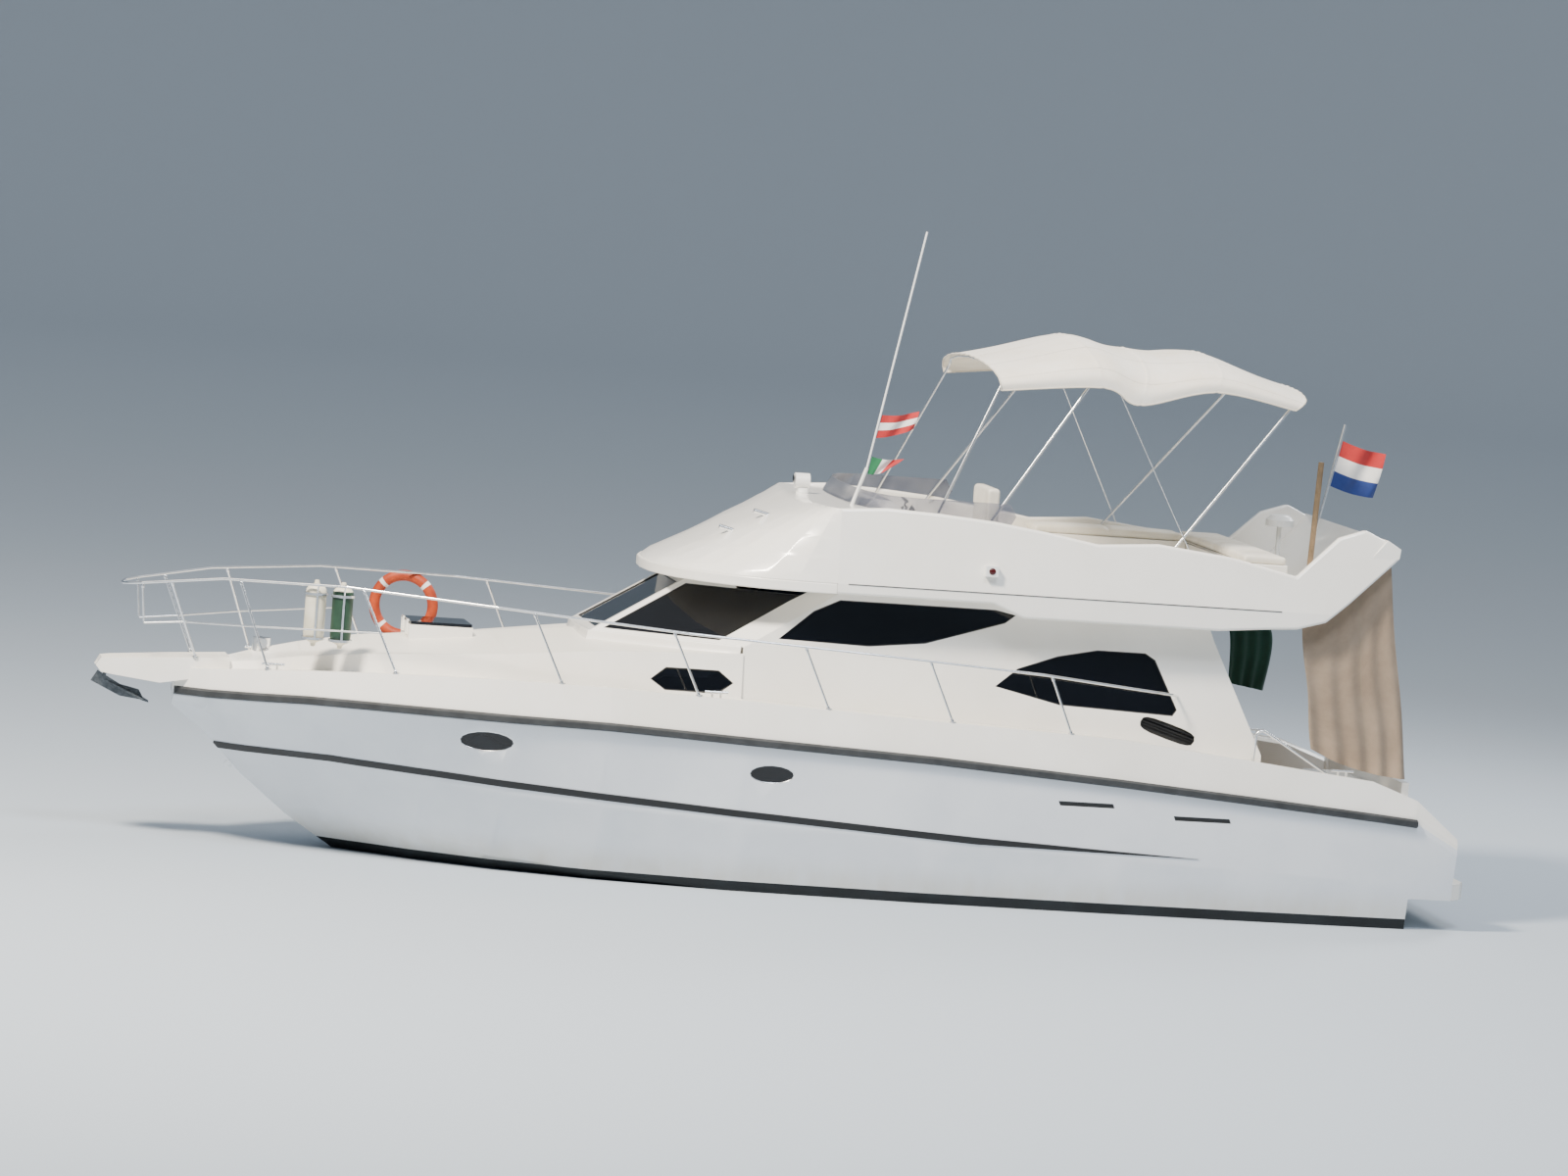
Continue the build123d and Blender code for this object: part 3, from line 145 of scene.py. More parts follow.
def relief(tree, shader, height, strength):
    """Fine relief, at most 2 mm deep."""
    lift = add(tree, "ShaderNodeBump", {"Strength": strength, "Distance": 0.002}, {"Height": height})
    tree.links.new(lift.outputs["Normal"], shader.inputs["Normal"])


# ---------------------------------------------------------------- finishes
def chalked(tree, at, light, worn):
    """Faint chalking in metre-wide clouds."""
    return stops(tree, noise(tree, at, Scale=0.9, Detail=4.0, Roughness=0.6), (0.30, worn), (0.62, light))


def moulded_gelcoat(name, light, worn, stain=None):
    """Polyester gelcoat from a polished mould: high gloss, faint chalking, and a yellowed band along the
    waterline where stain is given."""
    mat, tree, shader = blank(name, Roughness=0.22, IOR=1.5, Coat_Weight=0.35, Coat_Roughness=0.08)
    at = place(tree)
    colour = chalked(tree, at, light, worn)
    if stain:
        drip = noise(tree, mapped(tree, at, Scale=(5.0, 5.0, 0.5)), Scale=1.0, Detail=5.0)
        low = ranged(tree, part_of(tree, at, "Z"), 0.10, 0.42, 0.55, 0.0, interpolation_type="SMOOTHSTEP")
        colour = mixed(tree, maths(tree, "MULTIPLY", low, drip), colour, stain)
    paint(tree, shader, colour)
    # the skin's faint print-through, drawn at 25 mm so that it shows
    relief(tree, shader, noise(tree, at, Scale=40.0, Detail=2.0), 0.02)
    return mat


def non_slip_gelcoat(name, light, worn, tread):
    """Gelcoat as on the mouldings, with a moulded diamond tread wherever the face looks up. The real diamonds are
    4 mm wide; they are drawn at 22 mm so that they show."""
    mat, tree, shader = blank(name, IOR=1.5, Coat_Weight=0.15, Coat_Roughness=0.2)
    at = place(tree)
    normal = add(tree, "ShaderNodeNewGeometry").outputs["Normal"]
    flat = ranged(tree, part_of(tree, normal, "Z"), 0.93, 0.97)
    diamonds = mapped(tree, at, Rotation=(0, 0, math.radians(45)), Scale=(45, 45, 45))
    tile = add(tree, "ShaderNodeTexChecker", {"Scale": 1.0}, {"Vector": diamonds}).outputs["Fac"]
    paint(tree, shader, mixed(tree, maths(tree, "MULTIPLY", flat, 0.5), chalked(tree, at, light, worn), tread))
    tree.links.new(ranged(tree, flat, 0.0, 1.0, 0.24, 0.62), shader.inputs["Roughness"])
    relief(tree, shader, maths(tree, "MULTIPLY", flat, tile), 0.35)
    return mat


def mottled(name, low, high, scale, rough, bump=0.15, metallic=0.0):
    """Plain coating or metal whose colour drifts over a given scale, with a fine grain."""
    mat, tree, shader = blank(name, Roughness=rough, Metallic=metallic)
    at = place(tree)
    drift = noise(tree, at, Scale=scale, Detail=5.0, Roughness=0.6)
    paint(tree, shader, stops(tree, drift, (0.30, low), (0.68, high)))
    relief(tree, shader, noise(tree, at, Scale=scale * 14, Detail=3.0), bump)
    return mat


def smoked_acrylic(name, tint, hazed):
    """Cast acrylic, tinted nearly black: a hard gloss with the cabin only just visible through it."""
    mat, tree, shader = blank(name, Roughness=0.04, IOR=1.49, Transmission_Weight=0.75)
    paint(tree, shader, stops(tree, noise(tree, place(tree), Scale=1.3, Detail=3.0), (0.3, tint), (0.7, hazed)))
    return mat


def light_acrylic(name, tint, dusty):
    """Thin acrylic with a light grey tint, as round an upper helm: glossy and clearly see-through."""
    mat, tree, shader = blank(name, Roughness=0.05, IOR=1.49, Transmission_Weight=0.88)
    paint(tree, shader, stops(tree, noise(tree, place(tree), Scale=3.0, Detail=4.0), (0.35, tint), (0.7, dusty)))
    return mat


def laid_teak(name):
    """Teak planks 55 mm wide with black caulking, laid fore and aft."""
    mat, tree, shader = blank(name, Roughness=0.62)
    at = place(tree)
    grain = noise(tree, mapped(tree, at, Scale=(1.6, 30.0, 30.0)), Scale=1.0, Detail=6.0, Distortion=0.4)
    wood = stops(tree, grain, (0.30, "#8A6A45"), (0.70, "#B8976A"))
    plank, caulking = seams(tree, part_of(tree, at, "Y"), 0.055, 0.10)
    paint(tree, shader, mixed(tree, caulking, wood, "#17130F"))
    relief(tree, shader, plank, 0.4)
    return mat


WAVE = 0.314         # metres in which a wave texture of scale 1 repeats
SEWN = 0.012         # breadth of a sewn seam


def woven(name, warp, weft, pitch, panel=None):
    """Woven cloth on the piece's own flat map in metres. pitch is the thread spacing, drawn coarser than the real
    0.5 mm so that it shows; panel is the width between sewn seams."""
    mat, tree, shader = blank(name, Roughness=0.85, Sheen_Weight=0.3, Sheen_Roughness=0.5)
    at = add(tree, "ShaderNodeUVMap", uv_map="flat").outputs["UV"]
    wave = {"Scale": WAVE / pitch, "Distortion": 0.4, "Detail": 1.0}
    threads = [add(tree, "ShaderNodeTexWave", wave, {"Vector": at}, bands_direction=way).outputs["Fac"]
               for way in ("X", "Y")]
    height = maths(tree, "MULTIPLY", *threads)
    fade = noise(tree, at, Scale=1.7, Detail=5.0, Roughness=0.65)
    tone = maths(tree, "ADD", maths(tree, "MULTIPLY", height, 0.30), fade)
    colour = stops(tree, tone, (0.35, warp), (0.85, weft))
    if panel:
        seam = seams(tree, part_of(tree, at, "X"), panel, SEWN / panel)[1]
        colour = mixed(tree, maths(tree, "MULTIPLY", seam, 0.4), colour, "#8B7F68")
        height = maths(tree, "ADD", height, seam)
    paint(tree, shader, colour)
    relief(tree, shader, height, 0.35)
    return mat


def grained_vinyl(name, low, high):
    """Upholstery vinyl: an embossed leather grain, 3 mm cells drawn at 9 mm, a soft sheen and paler worn patches."""
    mat, tree, shader = blank(name, Roughness=0.46, Sheen_Weight=0.1)
    at = place(tree)
    paint(tree, shader, stops(tree, noise(tree, at, Scale=3.5, Detail=5.0), (0.32, low), (0.68, high)))
    cells = add(tree, "ShaderNodeTexVoronoi", {"Scale": 110.0}, {"Vector": at})
    relief(tree, shader, cells.outputs["Distance"], 0.2)
    return mat


GELCOAT = moulded_gelcoat("moulded gelcoat, warm white", "#FAF7F0", "#F3EFE6")
DECK = non_slip_gelcoat("moulded gelcoat with non-slip tread", "#FAF7F0", "#F3EFE6", "#E0DACB")
# The topsides are the same white gelcoat as the cabin. Their cooler grey-blue tint is painted shade, with a blue cast
# painted in for light off the water.
SHADED_TOPSIDES = moulded_gelcoat("moulded gelcoat, topsides in painted shade", "#E7EAEE", "#DBDFE5", stain="#B9AA80")
ANTIFOULING = mottled("rolled antifouling", "#0D1114", "#1C2226", 2.5, 0.78)
STRIPE = mottled("black vinyl stripe", "#0A0A0B", "#121214", 4.0, 0.30)
RUBBER = mottled("extruded grey rubber", "#26282A", "#3A3C3E", 6.0, 0.60)
SMOKED = smoked_acrylic("smoked acrylic", "#0B0E16", "#161B26")
TINTED = light_acrylic("light grey acrylic", "#A9ABB8", "#D5D6DC")
STAINLESS = mottled("polished stainless tube", "#E0E2E4", "#F3F4F5", 9.0, 0.26, bump=0.03, metallic=1.0)
GALVANISED = mottled("hot dip galvanised steel", "#4E5357", "#757A7E", 30.0, 0.55, metallic=1.0)
BRONZE = mottled("cast bronze", "#8A6A35", "#B28E4E", 12.0, 0.38, metallic=1.0)
TEAK = laid_teak("laid teak")
CANVAS = woven("acrylic canvas, cream", "#EFE5D2", "#FFFBF3", 0.010, panel=0.46)
# The side screen is beige canvas. Its darker taupe here is painted shade, because its outer face is out of the sun.
SHADED_SCREEN_CLOTH = woven("acrylic canvas, beige in painted shade", "#7C6A58", "#A08D79", 0.010, panel=0.62)
GREEN_CLOTH = woven("acrylic canvas, dark green", "#12352B", "#1F5040", 0.010)
BUNTING = woven("polyester bunting, white", "#DDDBD7", "#F6F4F0", 0.008)
BUNTING_RED = woven("polyester bunting, red", "#9C171B", "#D0302F", 0.008)
BUNTING_BLUE = woven("polyester bunting, blue", "#142A66", "#24448F", 0.008)
BUNTING_GREEN = woven("polyester bunting, green", "#14613A", "#1F8450", 0.008)
VINYL = grained_vinyl("upholstery vinyl, ivory", "#DCD5C5", "#F0EBDF")
BUOY = mottled("painted foam, orange", "#8C2A06", "#B8430F", 7.0, 0.55)
BUOY_BAND = mottled("reflective tape, white", "#D8DADB", "#F2F2F0", 7.0, 0.35)
FENDER = mottled("moulded soft vinyl, cream", "#D8D0B8", "#EDE6D2", 5.0, 0.42)
FENDER_GREEN = mottled("moulded soft vinyl, dark green", "#1C3527", "#2C4C37", 5.0, 0.42)
WHITE_PLASTIC = mottled("moulded white plastic", "#E6E6E2", "#F4F4F1", 6.0, 0.32)
BUFF = mottled("buff painted tube", "#6E5B43", "#8F785B", 8.0, 0.55)
IRON = mottled("painted cast iron", "#4E5356", "#6A7073", 9.0, 0.60)
DARK = mottled("moulded black plastic", "#0E0F10", "#1B1C1E", 8.0, 0.45)
SEAL = mottled("black rubber seal", "#111213", "#202122", 8.0, 0.55)
RED_LENS = mottled("moulded red lens", "#3A0607", "#560B0C", 8.0, 0.12)
GREEN_LENS = mottled("moulded green lens", "#05301A", "#0A4628", 8.0, 0.12)
WALNUT = mottled("varnished cherry joinery", "#5A351C", "#7B4D2B", 6.0, 0.30)


# ---------------------------------------------------------------- geometry helpers
def put(name, bm, material, smooth, body="yacht"):
    """Finished mesh piece: smooth up to an angle, in its material, riding on a body."""
    mesh = bpy.data.meshes.new(name)
    bm.to_mesh(mesh)
    bm.free()
    mesh.polygons.foreach_set("use_smooth", [True] * len(mesh.polygons))
    mesh.set_sharp_from_angle(angle=math.radians(smooth))
    for m in (material if isinstance(material, (list, tuple)) else [material]):
        mesh.materials.append(m)
    piece = bpy.data.objects.new(name, mesh)
    bpy.context.collection.objects.link(piece)
    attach(piece, body)
    return piece


def recolour(piece, material, where):
    """Gives the faces whose middle and normal pass a test a finish of their own."""
    piece.data.materials.append(material)
    k = len(piece.data.materials) - 1
    for face in piece.data.polygons:
        if where(face.center, face.normal):
            face.material_index = k


def facing(at, way):
    """Carries a shape about +Z to a place and turns its +Z along a direction."""
    return Matrix.Translation(at) @ Vector(way).to_track_quat("Z", "Y").to_matrix().to_4x4()


def middle(points):
    return sum(points, Vector()) / len(points)


def between(rows, t):
    """Smooth place along a list of equal-length rows of numbers; t runs from 0 to 1."""
    k = min(int(t * (len(rows) - 1)), len(rows) - 2)
    f = t * (len(rows) - 1) - k
    p = [rows[max(k - 1, 0)], rows[k], rows[k + 1], rows[min(k + 2, len(rows) - 1)]]
    return [0.5 * (2 * b + (c - a) * f + (2 * a - 5 * b + 4 * c - d) * f * f + (3 * b - a - 3 * c + d) * f ** 3)
            for a, b, c, d in zip(*p)]


def length_of(points):
    return sum((b - a).length for a, b in zip(points, points[1:]))


def carried_grid(across, along, shape, flat=None):
    """Grid whose points (u, v), both 0 to 1, are carried to shape(u, v), with a flat map of that size if given."""
    bm = bmesh.new()
    bmesh.ops.create_grid(bm, x_segments=across, y_segments=along, size=0.5)
    if flat:
        laid = bm.loops.layers.uv.new("flat")
        for face in bm.faces:
            for corner in face.loops:
                corner[laid].uv = ((corner.vert.co.x + 0.5) * flat[0], (corner.vert.co.y + 0.5) * flat[1])
    for v in bm.verts:
        v.co = Vector(shape(v.co.x + 0.5, v.co.y + 0.5))
    return bm


def spun(outline, steps, weld):
    """Body of revolution about Z: an outline of (radius, height) pairs, welded where it closes."""
    bm = bmesh.new()
    start = [bm.verts.new((r, 0, h)) for r, h in outline]
    rim = [bm.edges.new(pair) for pair in zip(start, start[1:])]
    bmesh.ops.spin(bm, geom=start + rim, cent=(0, 0, 0), axis=(0, 0, 1), steps=steps, angle=2 * math.pi,
                   use_merge=True)
    bmesh.ops.remove_doubles(bm, verts=bm.verts, dist=weld)
    return bm


def revolved(name, outline, centre, axis, material, steps):
    """Turned piece about an axis through a centre."""
    bm = spun(outline, steps, 0.00005)
    bmesh.ops.recalc_face_normals(bm, faces=bm.faces)
    bmesh.ops.transform(bm, matrix=facing(centre, axis), verts=bm.verts)
    return put(name, bm, material, 50)


def piping(name, lines, radius, material, closed=True):
    """Round beads along lines of points, as one mesh."""
    curve = bpy.data.curves.new(name + ".line", "CURVE")
    curve.dimensions, curve.bevel_depth, curve.bevel_resolution = "3D", radius, 3
    for points in lines:
        run = curve.splines.new("POLY")
        run.points.add(len(points) - 1)
        for p, q in zip(run.points, points):
            p.co = (*q, 1.0)
        run.use_cyclic_u = closed
    holder = bpy.data.objects.new(name + ".line", curve)
    bpy.context.collection.objects.link(holder)
    mesh = bpy.data.meshes.new_from_object(holder.evaluated_get(bpy.context.evaluated_depsgraph_get()))
    bpy.data.objects.remove(holder)
    bm = bmesh.new()
    bm.from_mesh(mesh)
    bmesh.ops.recalc_face_normals(bm, faces=bm.faces)
    return put(name, bm, material, 60)


def merged(node, angle):
    """A CAD node's mesh with its doubled points welded and faces within an angle of each other joined."""
    bm = bmesh.new()
    bm.from_mesh(frame["nodes"][node].data)
    bmesh.ops.remove_doubles(bm, verts=bm.verts, dist=0.00002)
    bmesh.ops.dissolve_limit(bm, angle_limit=math.radians(angle), verts=bm.verts, edges=bm.edges)
    return bm


def islands(node):
    """A CAD node's merged mesh, and the points of each of its solids."""
    bm = merged(node, 0.5)
    seen, groups = set(), []
    for seed in bm.verts:
        if seed in seen:
            continue
        seen.add(seed)
        group = [seed]
        for v in group:
            for other in (e.other_vert(v) for e in v.link_edges):
                if other not in seen:
                    seen.add(other)
                    group.append(other)
        groups.append(group)
    return bm, groups


# ---------------------------------------------------------------- CAD nodes that keep their shape
NOSE_JOINT = -0.20    # where the flybridge's nose and sides were moulded as one


def on_nose_joint(node, edge):
    return node in ("flybridge_nose", "flybridge_sides") and all(abs(v.co.x - NOSE_JOINT) < 0.003 for v in edge.verts)


def faired(node, material, smooth, radius):
    """Copy of a CAD node, merged, shaded smooth and with its corners eased, that stands for the node. The joint
    between the flybridge's nose and sides stays sharp, so that the two read as one moulding."""
    bm = merged(node, 0.3)
    if radius:
        eased = bm.edges.layers.float.new("bevel_weight_edge")
        for e in bm.edges:
            if len(e.link_faces) == 2 and e.calc_face_angle(0) > math.radians(smooth) and not on_nose_joint(node, e):
                e[eased] = 1.0
    piece = put(node + ".shown", bm, material, smooth, BODY_OF[node])
    if radius:
        ease = piece.modifiers.new("eased edge", "BEVEL")
        ease.width, ease.segments, ease.limit_method = radius, 3, "WEIGHT"
    even = piece.modifiers.new("even shading", "WEIGHTED_NORMAL")
    even.keep_sharp = True
    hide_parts(node)
    return piece


# node, finish, smoothing angle, edge radius
SHOWN = [
    ("hull_bottom", ANTIFOULING, 30, 0), ("hull_topsides", SHADED_TOPSIDES, 24, 0), ("hull_stripe", STRIPE, 30, 0),
    ("hull_trim", RUBBER, 40, 0), ("foredeck", DECK, 13, 0), ("foredeck_hatch", SMOKED, 30, 0.004),
    ("side_decks", DECK, 28, 0), ("transom", GELCOAT, 30, 0.004), ("transom_gate", GELCOAT, 30, 0.004),
    ("swim_platform", DECK, 40, 0.012), ("bow_platform", DECK, 40, 0.006), ("anchor", GALVANISED, 30, 0.002),
    ("soles", TEAK, 30, 0), ("engine_hatch", TEAK, 30, 0.002), ("engines", IRON, 30, 0.03),
    ("cabin_sides", GELCOAT, 30, 0.004), ("windscreen_frame", GELCOAT, 30, 0.004), ("aft_bulkhead", GELCOAT, 30, 0.003),
    ("saloon_door", GELCOAT, 30, 0.004), ("flybridge_floor", DECK, 40, 0.012), ("flybridge_nose", GELCOAT, 38, 0.016),
    ("flybridge_sides", GELCOAT, 34, 0.024), ("flybridge_stern", GELCOAT, 40, 0.024), ("helm_console", GELCOAT, 40, 0),
    ("benches", GELCOAT, 30, 0.012), ("bimini_frame", STAINLESS, 40, 0), ("bow_rail", STAINLESS, 60, 0),
    ("aerials", WHITE_PLASTIC, 40, 0), ("stern_poles", STAINLESS, 40, 0), ("propeller_port", BRONZE, 40, 0),
    ("propeller_starboard", BRONZE, 40, 0), ("rudder_port", BRONZE, 40, 0), ("rudder_starboard", BRONZE, 40, 0),
    ("shaft_brackets", BRONZE, 40, 0), ("deck_hardware", STAINLESS, 40, 0), ("lamps_and_horns", WHITE_PLASTIC, 40, 0),
    ("saloon_furniture", WALNUT, 30, 0.01), ("glazing", SMOKED, 30, 0), ("door_glass", SMOKED, 30, 0),
    ("fly_windscreen", TINTED, 40, 0),
]
shown = {node: faired(node, material, smooth, radius) for node, material, smooth, radius in SHOWN}

WHEEL_C, WHEEL_AXIS = Vector((-1.075, 0.62, 3.59)), Vector((-0.8, 0, 0.6))    # steering wheel
WHEEL_R, WHEEL_T = 0.2, 0.03


def on_louvre(c, n):
    return abs(c.y) < 1.47 and c.z > 1.58


def on_side_vent(c, n):
    return -4.2 < c.x < -2.3 and abs(c.y) < 1.99 and c.z < 1.09


def on_wheel(c, n):
    return abs((c - WHEEL_C).dot(WHEEL_AXIS)) < WHEEL_T and (c - WHEEL_C).length < WHEEL_R


def on_settee_top(c, n):
    return abs(c.y) > 0.7 and n.z > 0.9 and c.x < -0.5


recolour(shown["hull_trim"], DARK, on_louvre)
recolour(shown["hull_trim"], DARK, on_side_vent)
recolour(shown["stern_poles"], BUFF, lambda c, n: c.y > 0)               # the pole to port
recolour(shown["lamps_and_horns"], STAINLESS, lambda c, n: c.x > 0.2)    # the horns
recolour(shown["helm_console"], DARK, on_wheel)
recolour(shown["saloon_furniture"], VINYL, on_settee_top)


# ---------------------------------------------------------------- window seals and portlight rims
PORTLIGHT_TOP = 1.5        # panes with their middle below this are portlights
CABIN_SIDE = 0.9           # panes with their middle further out than this face sideways

bm, groups = islands("glazing")
seals, rims = [], []
for group in groups:
    faces = sorted(dict.fromkeys(f for v in group for f in v.link_faces), key=lambda f: -f.calc_area())[:2]
    mid = middle([f.calc_center_median() for f in faces])
    away = Vector((0, mid.y, 0)) if abs(mid.y) > CABIN_SIDE else Vector((1 if mid.x > 0 else -1, 0, 0))
    outer = max(faces, key=lambda f: f.normal.dot(away))
    (rims if mid.z < PORTLIGHT_TOP else seals).append([v.co.copy() for v in outer.verts])
bm.free()
piping("glazing.seals", seals, 0.011, SEAL)
piping("portlight.rims", rims, 0.010, STAINLESS)


# ---------------------------------------------------------------- feet and sleeves of the rail posts
POST_TALL, POST_LEAN = 0.33, 0.45     # a solid of the rail at least this tall, reaching no further along, is a post
POST_RIM = 0.012                      # its end points lie this near its ends
NO_FOOT_X = 6.1                       # posts forward of this have no foot
# radius, length, distance of its middle from the post's end
FOOT, LOW_SLEEVE, TOP_SLEEVE = (0.034, 0.010, 0.006), (0.016, 0.032, 0.02), (0.015, 0.036, -0.022)


def collar(bm, end, way, radius, length, off):
    """Short round sleeve along a direction, its rims bevelled."""
    made = bmesh.ops.create_cone(bm, cap_ends=True, segments=20, radius1=radius, radius2=radius, depth=length,
                                 matrix=facing(end + way * off, way))
    rings = [e for v in made["verts"] for e in v.link_edges
             if len(e.link_faces) == 2 and any(len(f.verts) > 4 for f in e.link_faces)]
    bmesh.ops.bevel(bm, geom=list(dict.fromkeys(rings)), offset=min(radius, length) * 0.25, segments=2, profile=0.5,
                    affect="EDGES", material=-1)


bm, groups = islands("bow_rail")
fittings = bmesh.new()
for group in groups:
    pts = sorted((v.co.copy() for v in group), key=lambda p: p.z)
    tall, lean = pts[-1].z - pts[0].z, max(p.x for p in pts) - min(p.x for p in pts)
    if tall < POST_TALL or lean > POST_LEAN:
        continue
    low = middle([p for p in pts if p.z < pts[0].z + POST_RIM])
    top = middle([p for p in pts if p.z > pts[-1].z - POST_RIM])
    way = (top - low).normalized()
    if low.x < NO_FOOT_X:
        collar(fittings, low, Vector((0, 0, 1)), *FOOT)
        collar(fittings, low, way, *LOW_SLEEVE)
    collar(fittings, top, way, *TOP_SLEEVE)
bm.free()
put("bow_rail.fittings", fittings, STAINLESS, 40)


# ---------------------------------------------------------------- lifebuoy, fenders and lamp lenses
RING_C, RING_AXIS = Vector((3.46, -1.5565, 2.22)), Vector((0.32, 0.95, 0)).normalized()
RING_SIDE = RING_AXIS.cross(Vector((0, 0, 1))).normalized()
RING_R, RING_T = 0.29, 0.053          # radius of its middle line and of its section
BAND_HALF = 5                         # degrees that a band takes either side of its middle

section = [(RING_R + RING_T * math.cos(a), RING_T * math.sin(a)) for a in (2 * math.pi * k / 16 for k in range(17))]
buoy = revolved("lifebuoy", section, RING_C, RING_AXIS, BUOY, 96)


def on_band(c, n):
    d = c - RING_C
    return abs(math.degrees(math.atan2(d.z, d.dot(RING_SIDE))) % 90 - 45) < BAND_HALF


recolour(buoy, BUOY_BAND, on_band)
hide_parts("safety_gear")

FENDER_Z, FENDER_CAP = 2.305, 0.235        # its middle; its ends are cream beyond this
BARREL = [(0.0, -0.315), (0.018, -0.313), (0.024, -0.300), (0.024, -0.284), (0.040, -0.272), (0.075, -0.255),
          (0.094, -0.228), (0.0985, -0.190)]
BARREL += [(r, -z) for r, z in reversed(BARREL)]
for name, x, y, vinyl in (("green", 4.36, 0.967, FENDER_GREEN), ("cream", 4.60, 0.8535, FENDER)):
    barrel = revolved("fender." + name, BARREL, Vector((x, y, FENDER_Z)), (0, 0, 1), vinyl, 40)
    recolour(barrel, FENDER, lambda c, n: abs(c.z - FENDER_Z) > FENDER_CAP)

SIDE_LENS = [(0.0, 0.010), (0.020, 0.008), (0.030, 0.002), (0.034, -0.004), (0.0, -0.004)]
SEARCH_LENS = [(0.0, 0.006), (0.030, 0.004), (0.036, -0.002), (0.0, -0.002)]
for name, side, tint in (("port", 1, RED_LENS), ("starboard", -1, GREEN_LENS)):
    at = Vector((-1.66, side * 1.722, 3.17))
    revolved("side_lamp." + name, SIDE_LENS, at, (0, side, 0), tint, 32)
revolved("search_lamp.lens", SEARCH_LENS, Vector((-0.045, -0.2, 3.80)), (1, 0, 0), SMOKED, 32)


# ---------------------------------------------------------------- sill under the windscreen, painted shade line along the knuckle
deck_mesh = frame["nodes"]["foredeck"].data
deck_tree = BVHTree.FromPolygons([v.co for v in deck_mesh.vertices], [p.vertices for p in deck_mesh.polygons])

# the line of the windscreen's foot in plan, starboard half to the middle, then mirrored
SILL = [(0.62, -1.395), (1.30, -1.012), (1.96, -0.62), (1.985, -0.31), (1.99, 0.0)]
SILL += [(x, -y) for x, y in reversed(SILL[:-1])]
# its section: distance outside that line, height as a share of the sill's own
SILL_SECTION = [(0.034, 0.0), (0.020, 0.35), (0.012, 0.80), (0.004, 1.0), (-0.030, 1.02), (-0.060, 0.98), (-0.066, 0.0)]
SILL_Z = 2.288        # just over the foot of the frame
SUNK = 0.004          # how far it goes into the deck
SILL_DROP = 2.6       # height from which to look down at the deck
SILL_LOW = 2.15       # its foot where there is no deck below


def unit(way):
    return way.normalized() if way.length else Vector((0, 0))


def sill_shape(u, v):
    """Round the windscreen's foot by u; by v up the outer face, over the top and down inside."""
    last = len(SILL) - 1
    k = min(int(u * last), last - 1)
    f = u * last - k
    a, b = Vector(SILL[k]), Vector(SILL[k + 1])
    ahead, behind = Vector(SILL[min(k + 2, last)]) - b, a - Vector(SILL[max(k - 1, 0)])
    way = (b - a).normalized() * 1.2 + unit(ahead) * f + unit(behind) * (1 - f)
    reach, height = between(SILL_SECTION, v)
    q = a.lerp(b, f) + Vector((way.y, -way.x)).normalized() * reach
    hit = deck_tree.ray_cast(Vector((q.x, q.y, SILL_DROP)), Vector((0, 0, -1)))[0]
    low = (hit.z if hit else SILL_LOW) - SUNK
    return (q.x, q.y, low + (SILL_Z - low) * height)


bm = carried_grid(96, 18, sill_shape)
bmesh.ops.recalc_face_normals(bm, faces=bm.faces)
put("windscreen.sill", bm, GELCOAT, 40)

# A thin dark bead along the knuckle, where the flybridge's side leans in. It is painted shade that stands for the
# shadow along that fold, and it takes the grey rubber finish.
KNUCKLE_Y, KNUCKLE_Z = 1.681, 2.961
knuckle_shade_lines = [[Vector((x / 10, side * KNUCKLE_Y, KNUCKLE_Z)) for x in range(-3, -47, -2)] for side in (1, -1)]
piping("flybridge.knuckle_shade_line", knuckle_shade_lines, 0.0045, RUBBER, closed=False)


# ---------------------------------------------------------------- canopy
# bow: x and z at the hem, x and z at the crown, half width
BOWS = [(-1.68, 4.86, -1.62, 5.11, 1.37), (-2.66, 4.95, -2.55, 5.37, 1.38), (-3.03, 4.81, -3.16, 5.28, 1.38),
        (-3.76, 4.98, -3.88, 5.29, 1.38), (-4.55, 4.86, -4.76, 5.03, 1.37)]
# arch of every bow: rise as a share of its height, breadth as a share of its half width
ARCH = [(0.0, 1.0), (0.30, 1.0), (0.60, 0.90), (0.86, 0.58), (0.975, 0.22)]
ARCH = ARCH + [(1.0, 0.0)] + [(t, -y) for t, y in reversed(ARCH)]
SAG, SLEEVE, PUCKER = 0.022, 0.007, 0.004     # fall between bows, thickness of a bow in its sleeve, gathers beside it
HEM_R = 0.007


def cloth_grid(name, material, across, along, shape, flat):
    """One sheet of cloth: carried to its shape and mapped flat in metres."""
    return put(name, carried_grid(across, along, shape, flat), material, 60)


def canopy_shape(u, v):
    """Across by u, fore to aft by v: taut over each bow's sleeve and sagging a little between the bows."""
    xh, zh, xt, zt, half = between(BOWS, v)
    rise, y = between(ARCH, u)
    bay = (v * 4) % 1.0
    near = min(bay, 1 - bay)
    sag = SAG * math.sin(math.pi * bay) ** 2 * (rise ** 2)
    sleeve = SLEEVE * math.exp(-(near / 0.022) ** 2) if 0 < v < 1 else 0.0
    pucker = PUCKER * math.sin(40 * y + 9 * v) * math.exp(-(near / 0.12) ** 2) * rise
    return (xh + (xt - xh) * rise, y * half, zh + (zt - zh) * rise - sag + sleeve + pucker)


def canopy_line(us, vs):
    return [Vector(canopy_shape(u, v)) for u in us for v in vs]


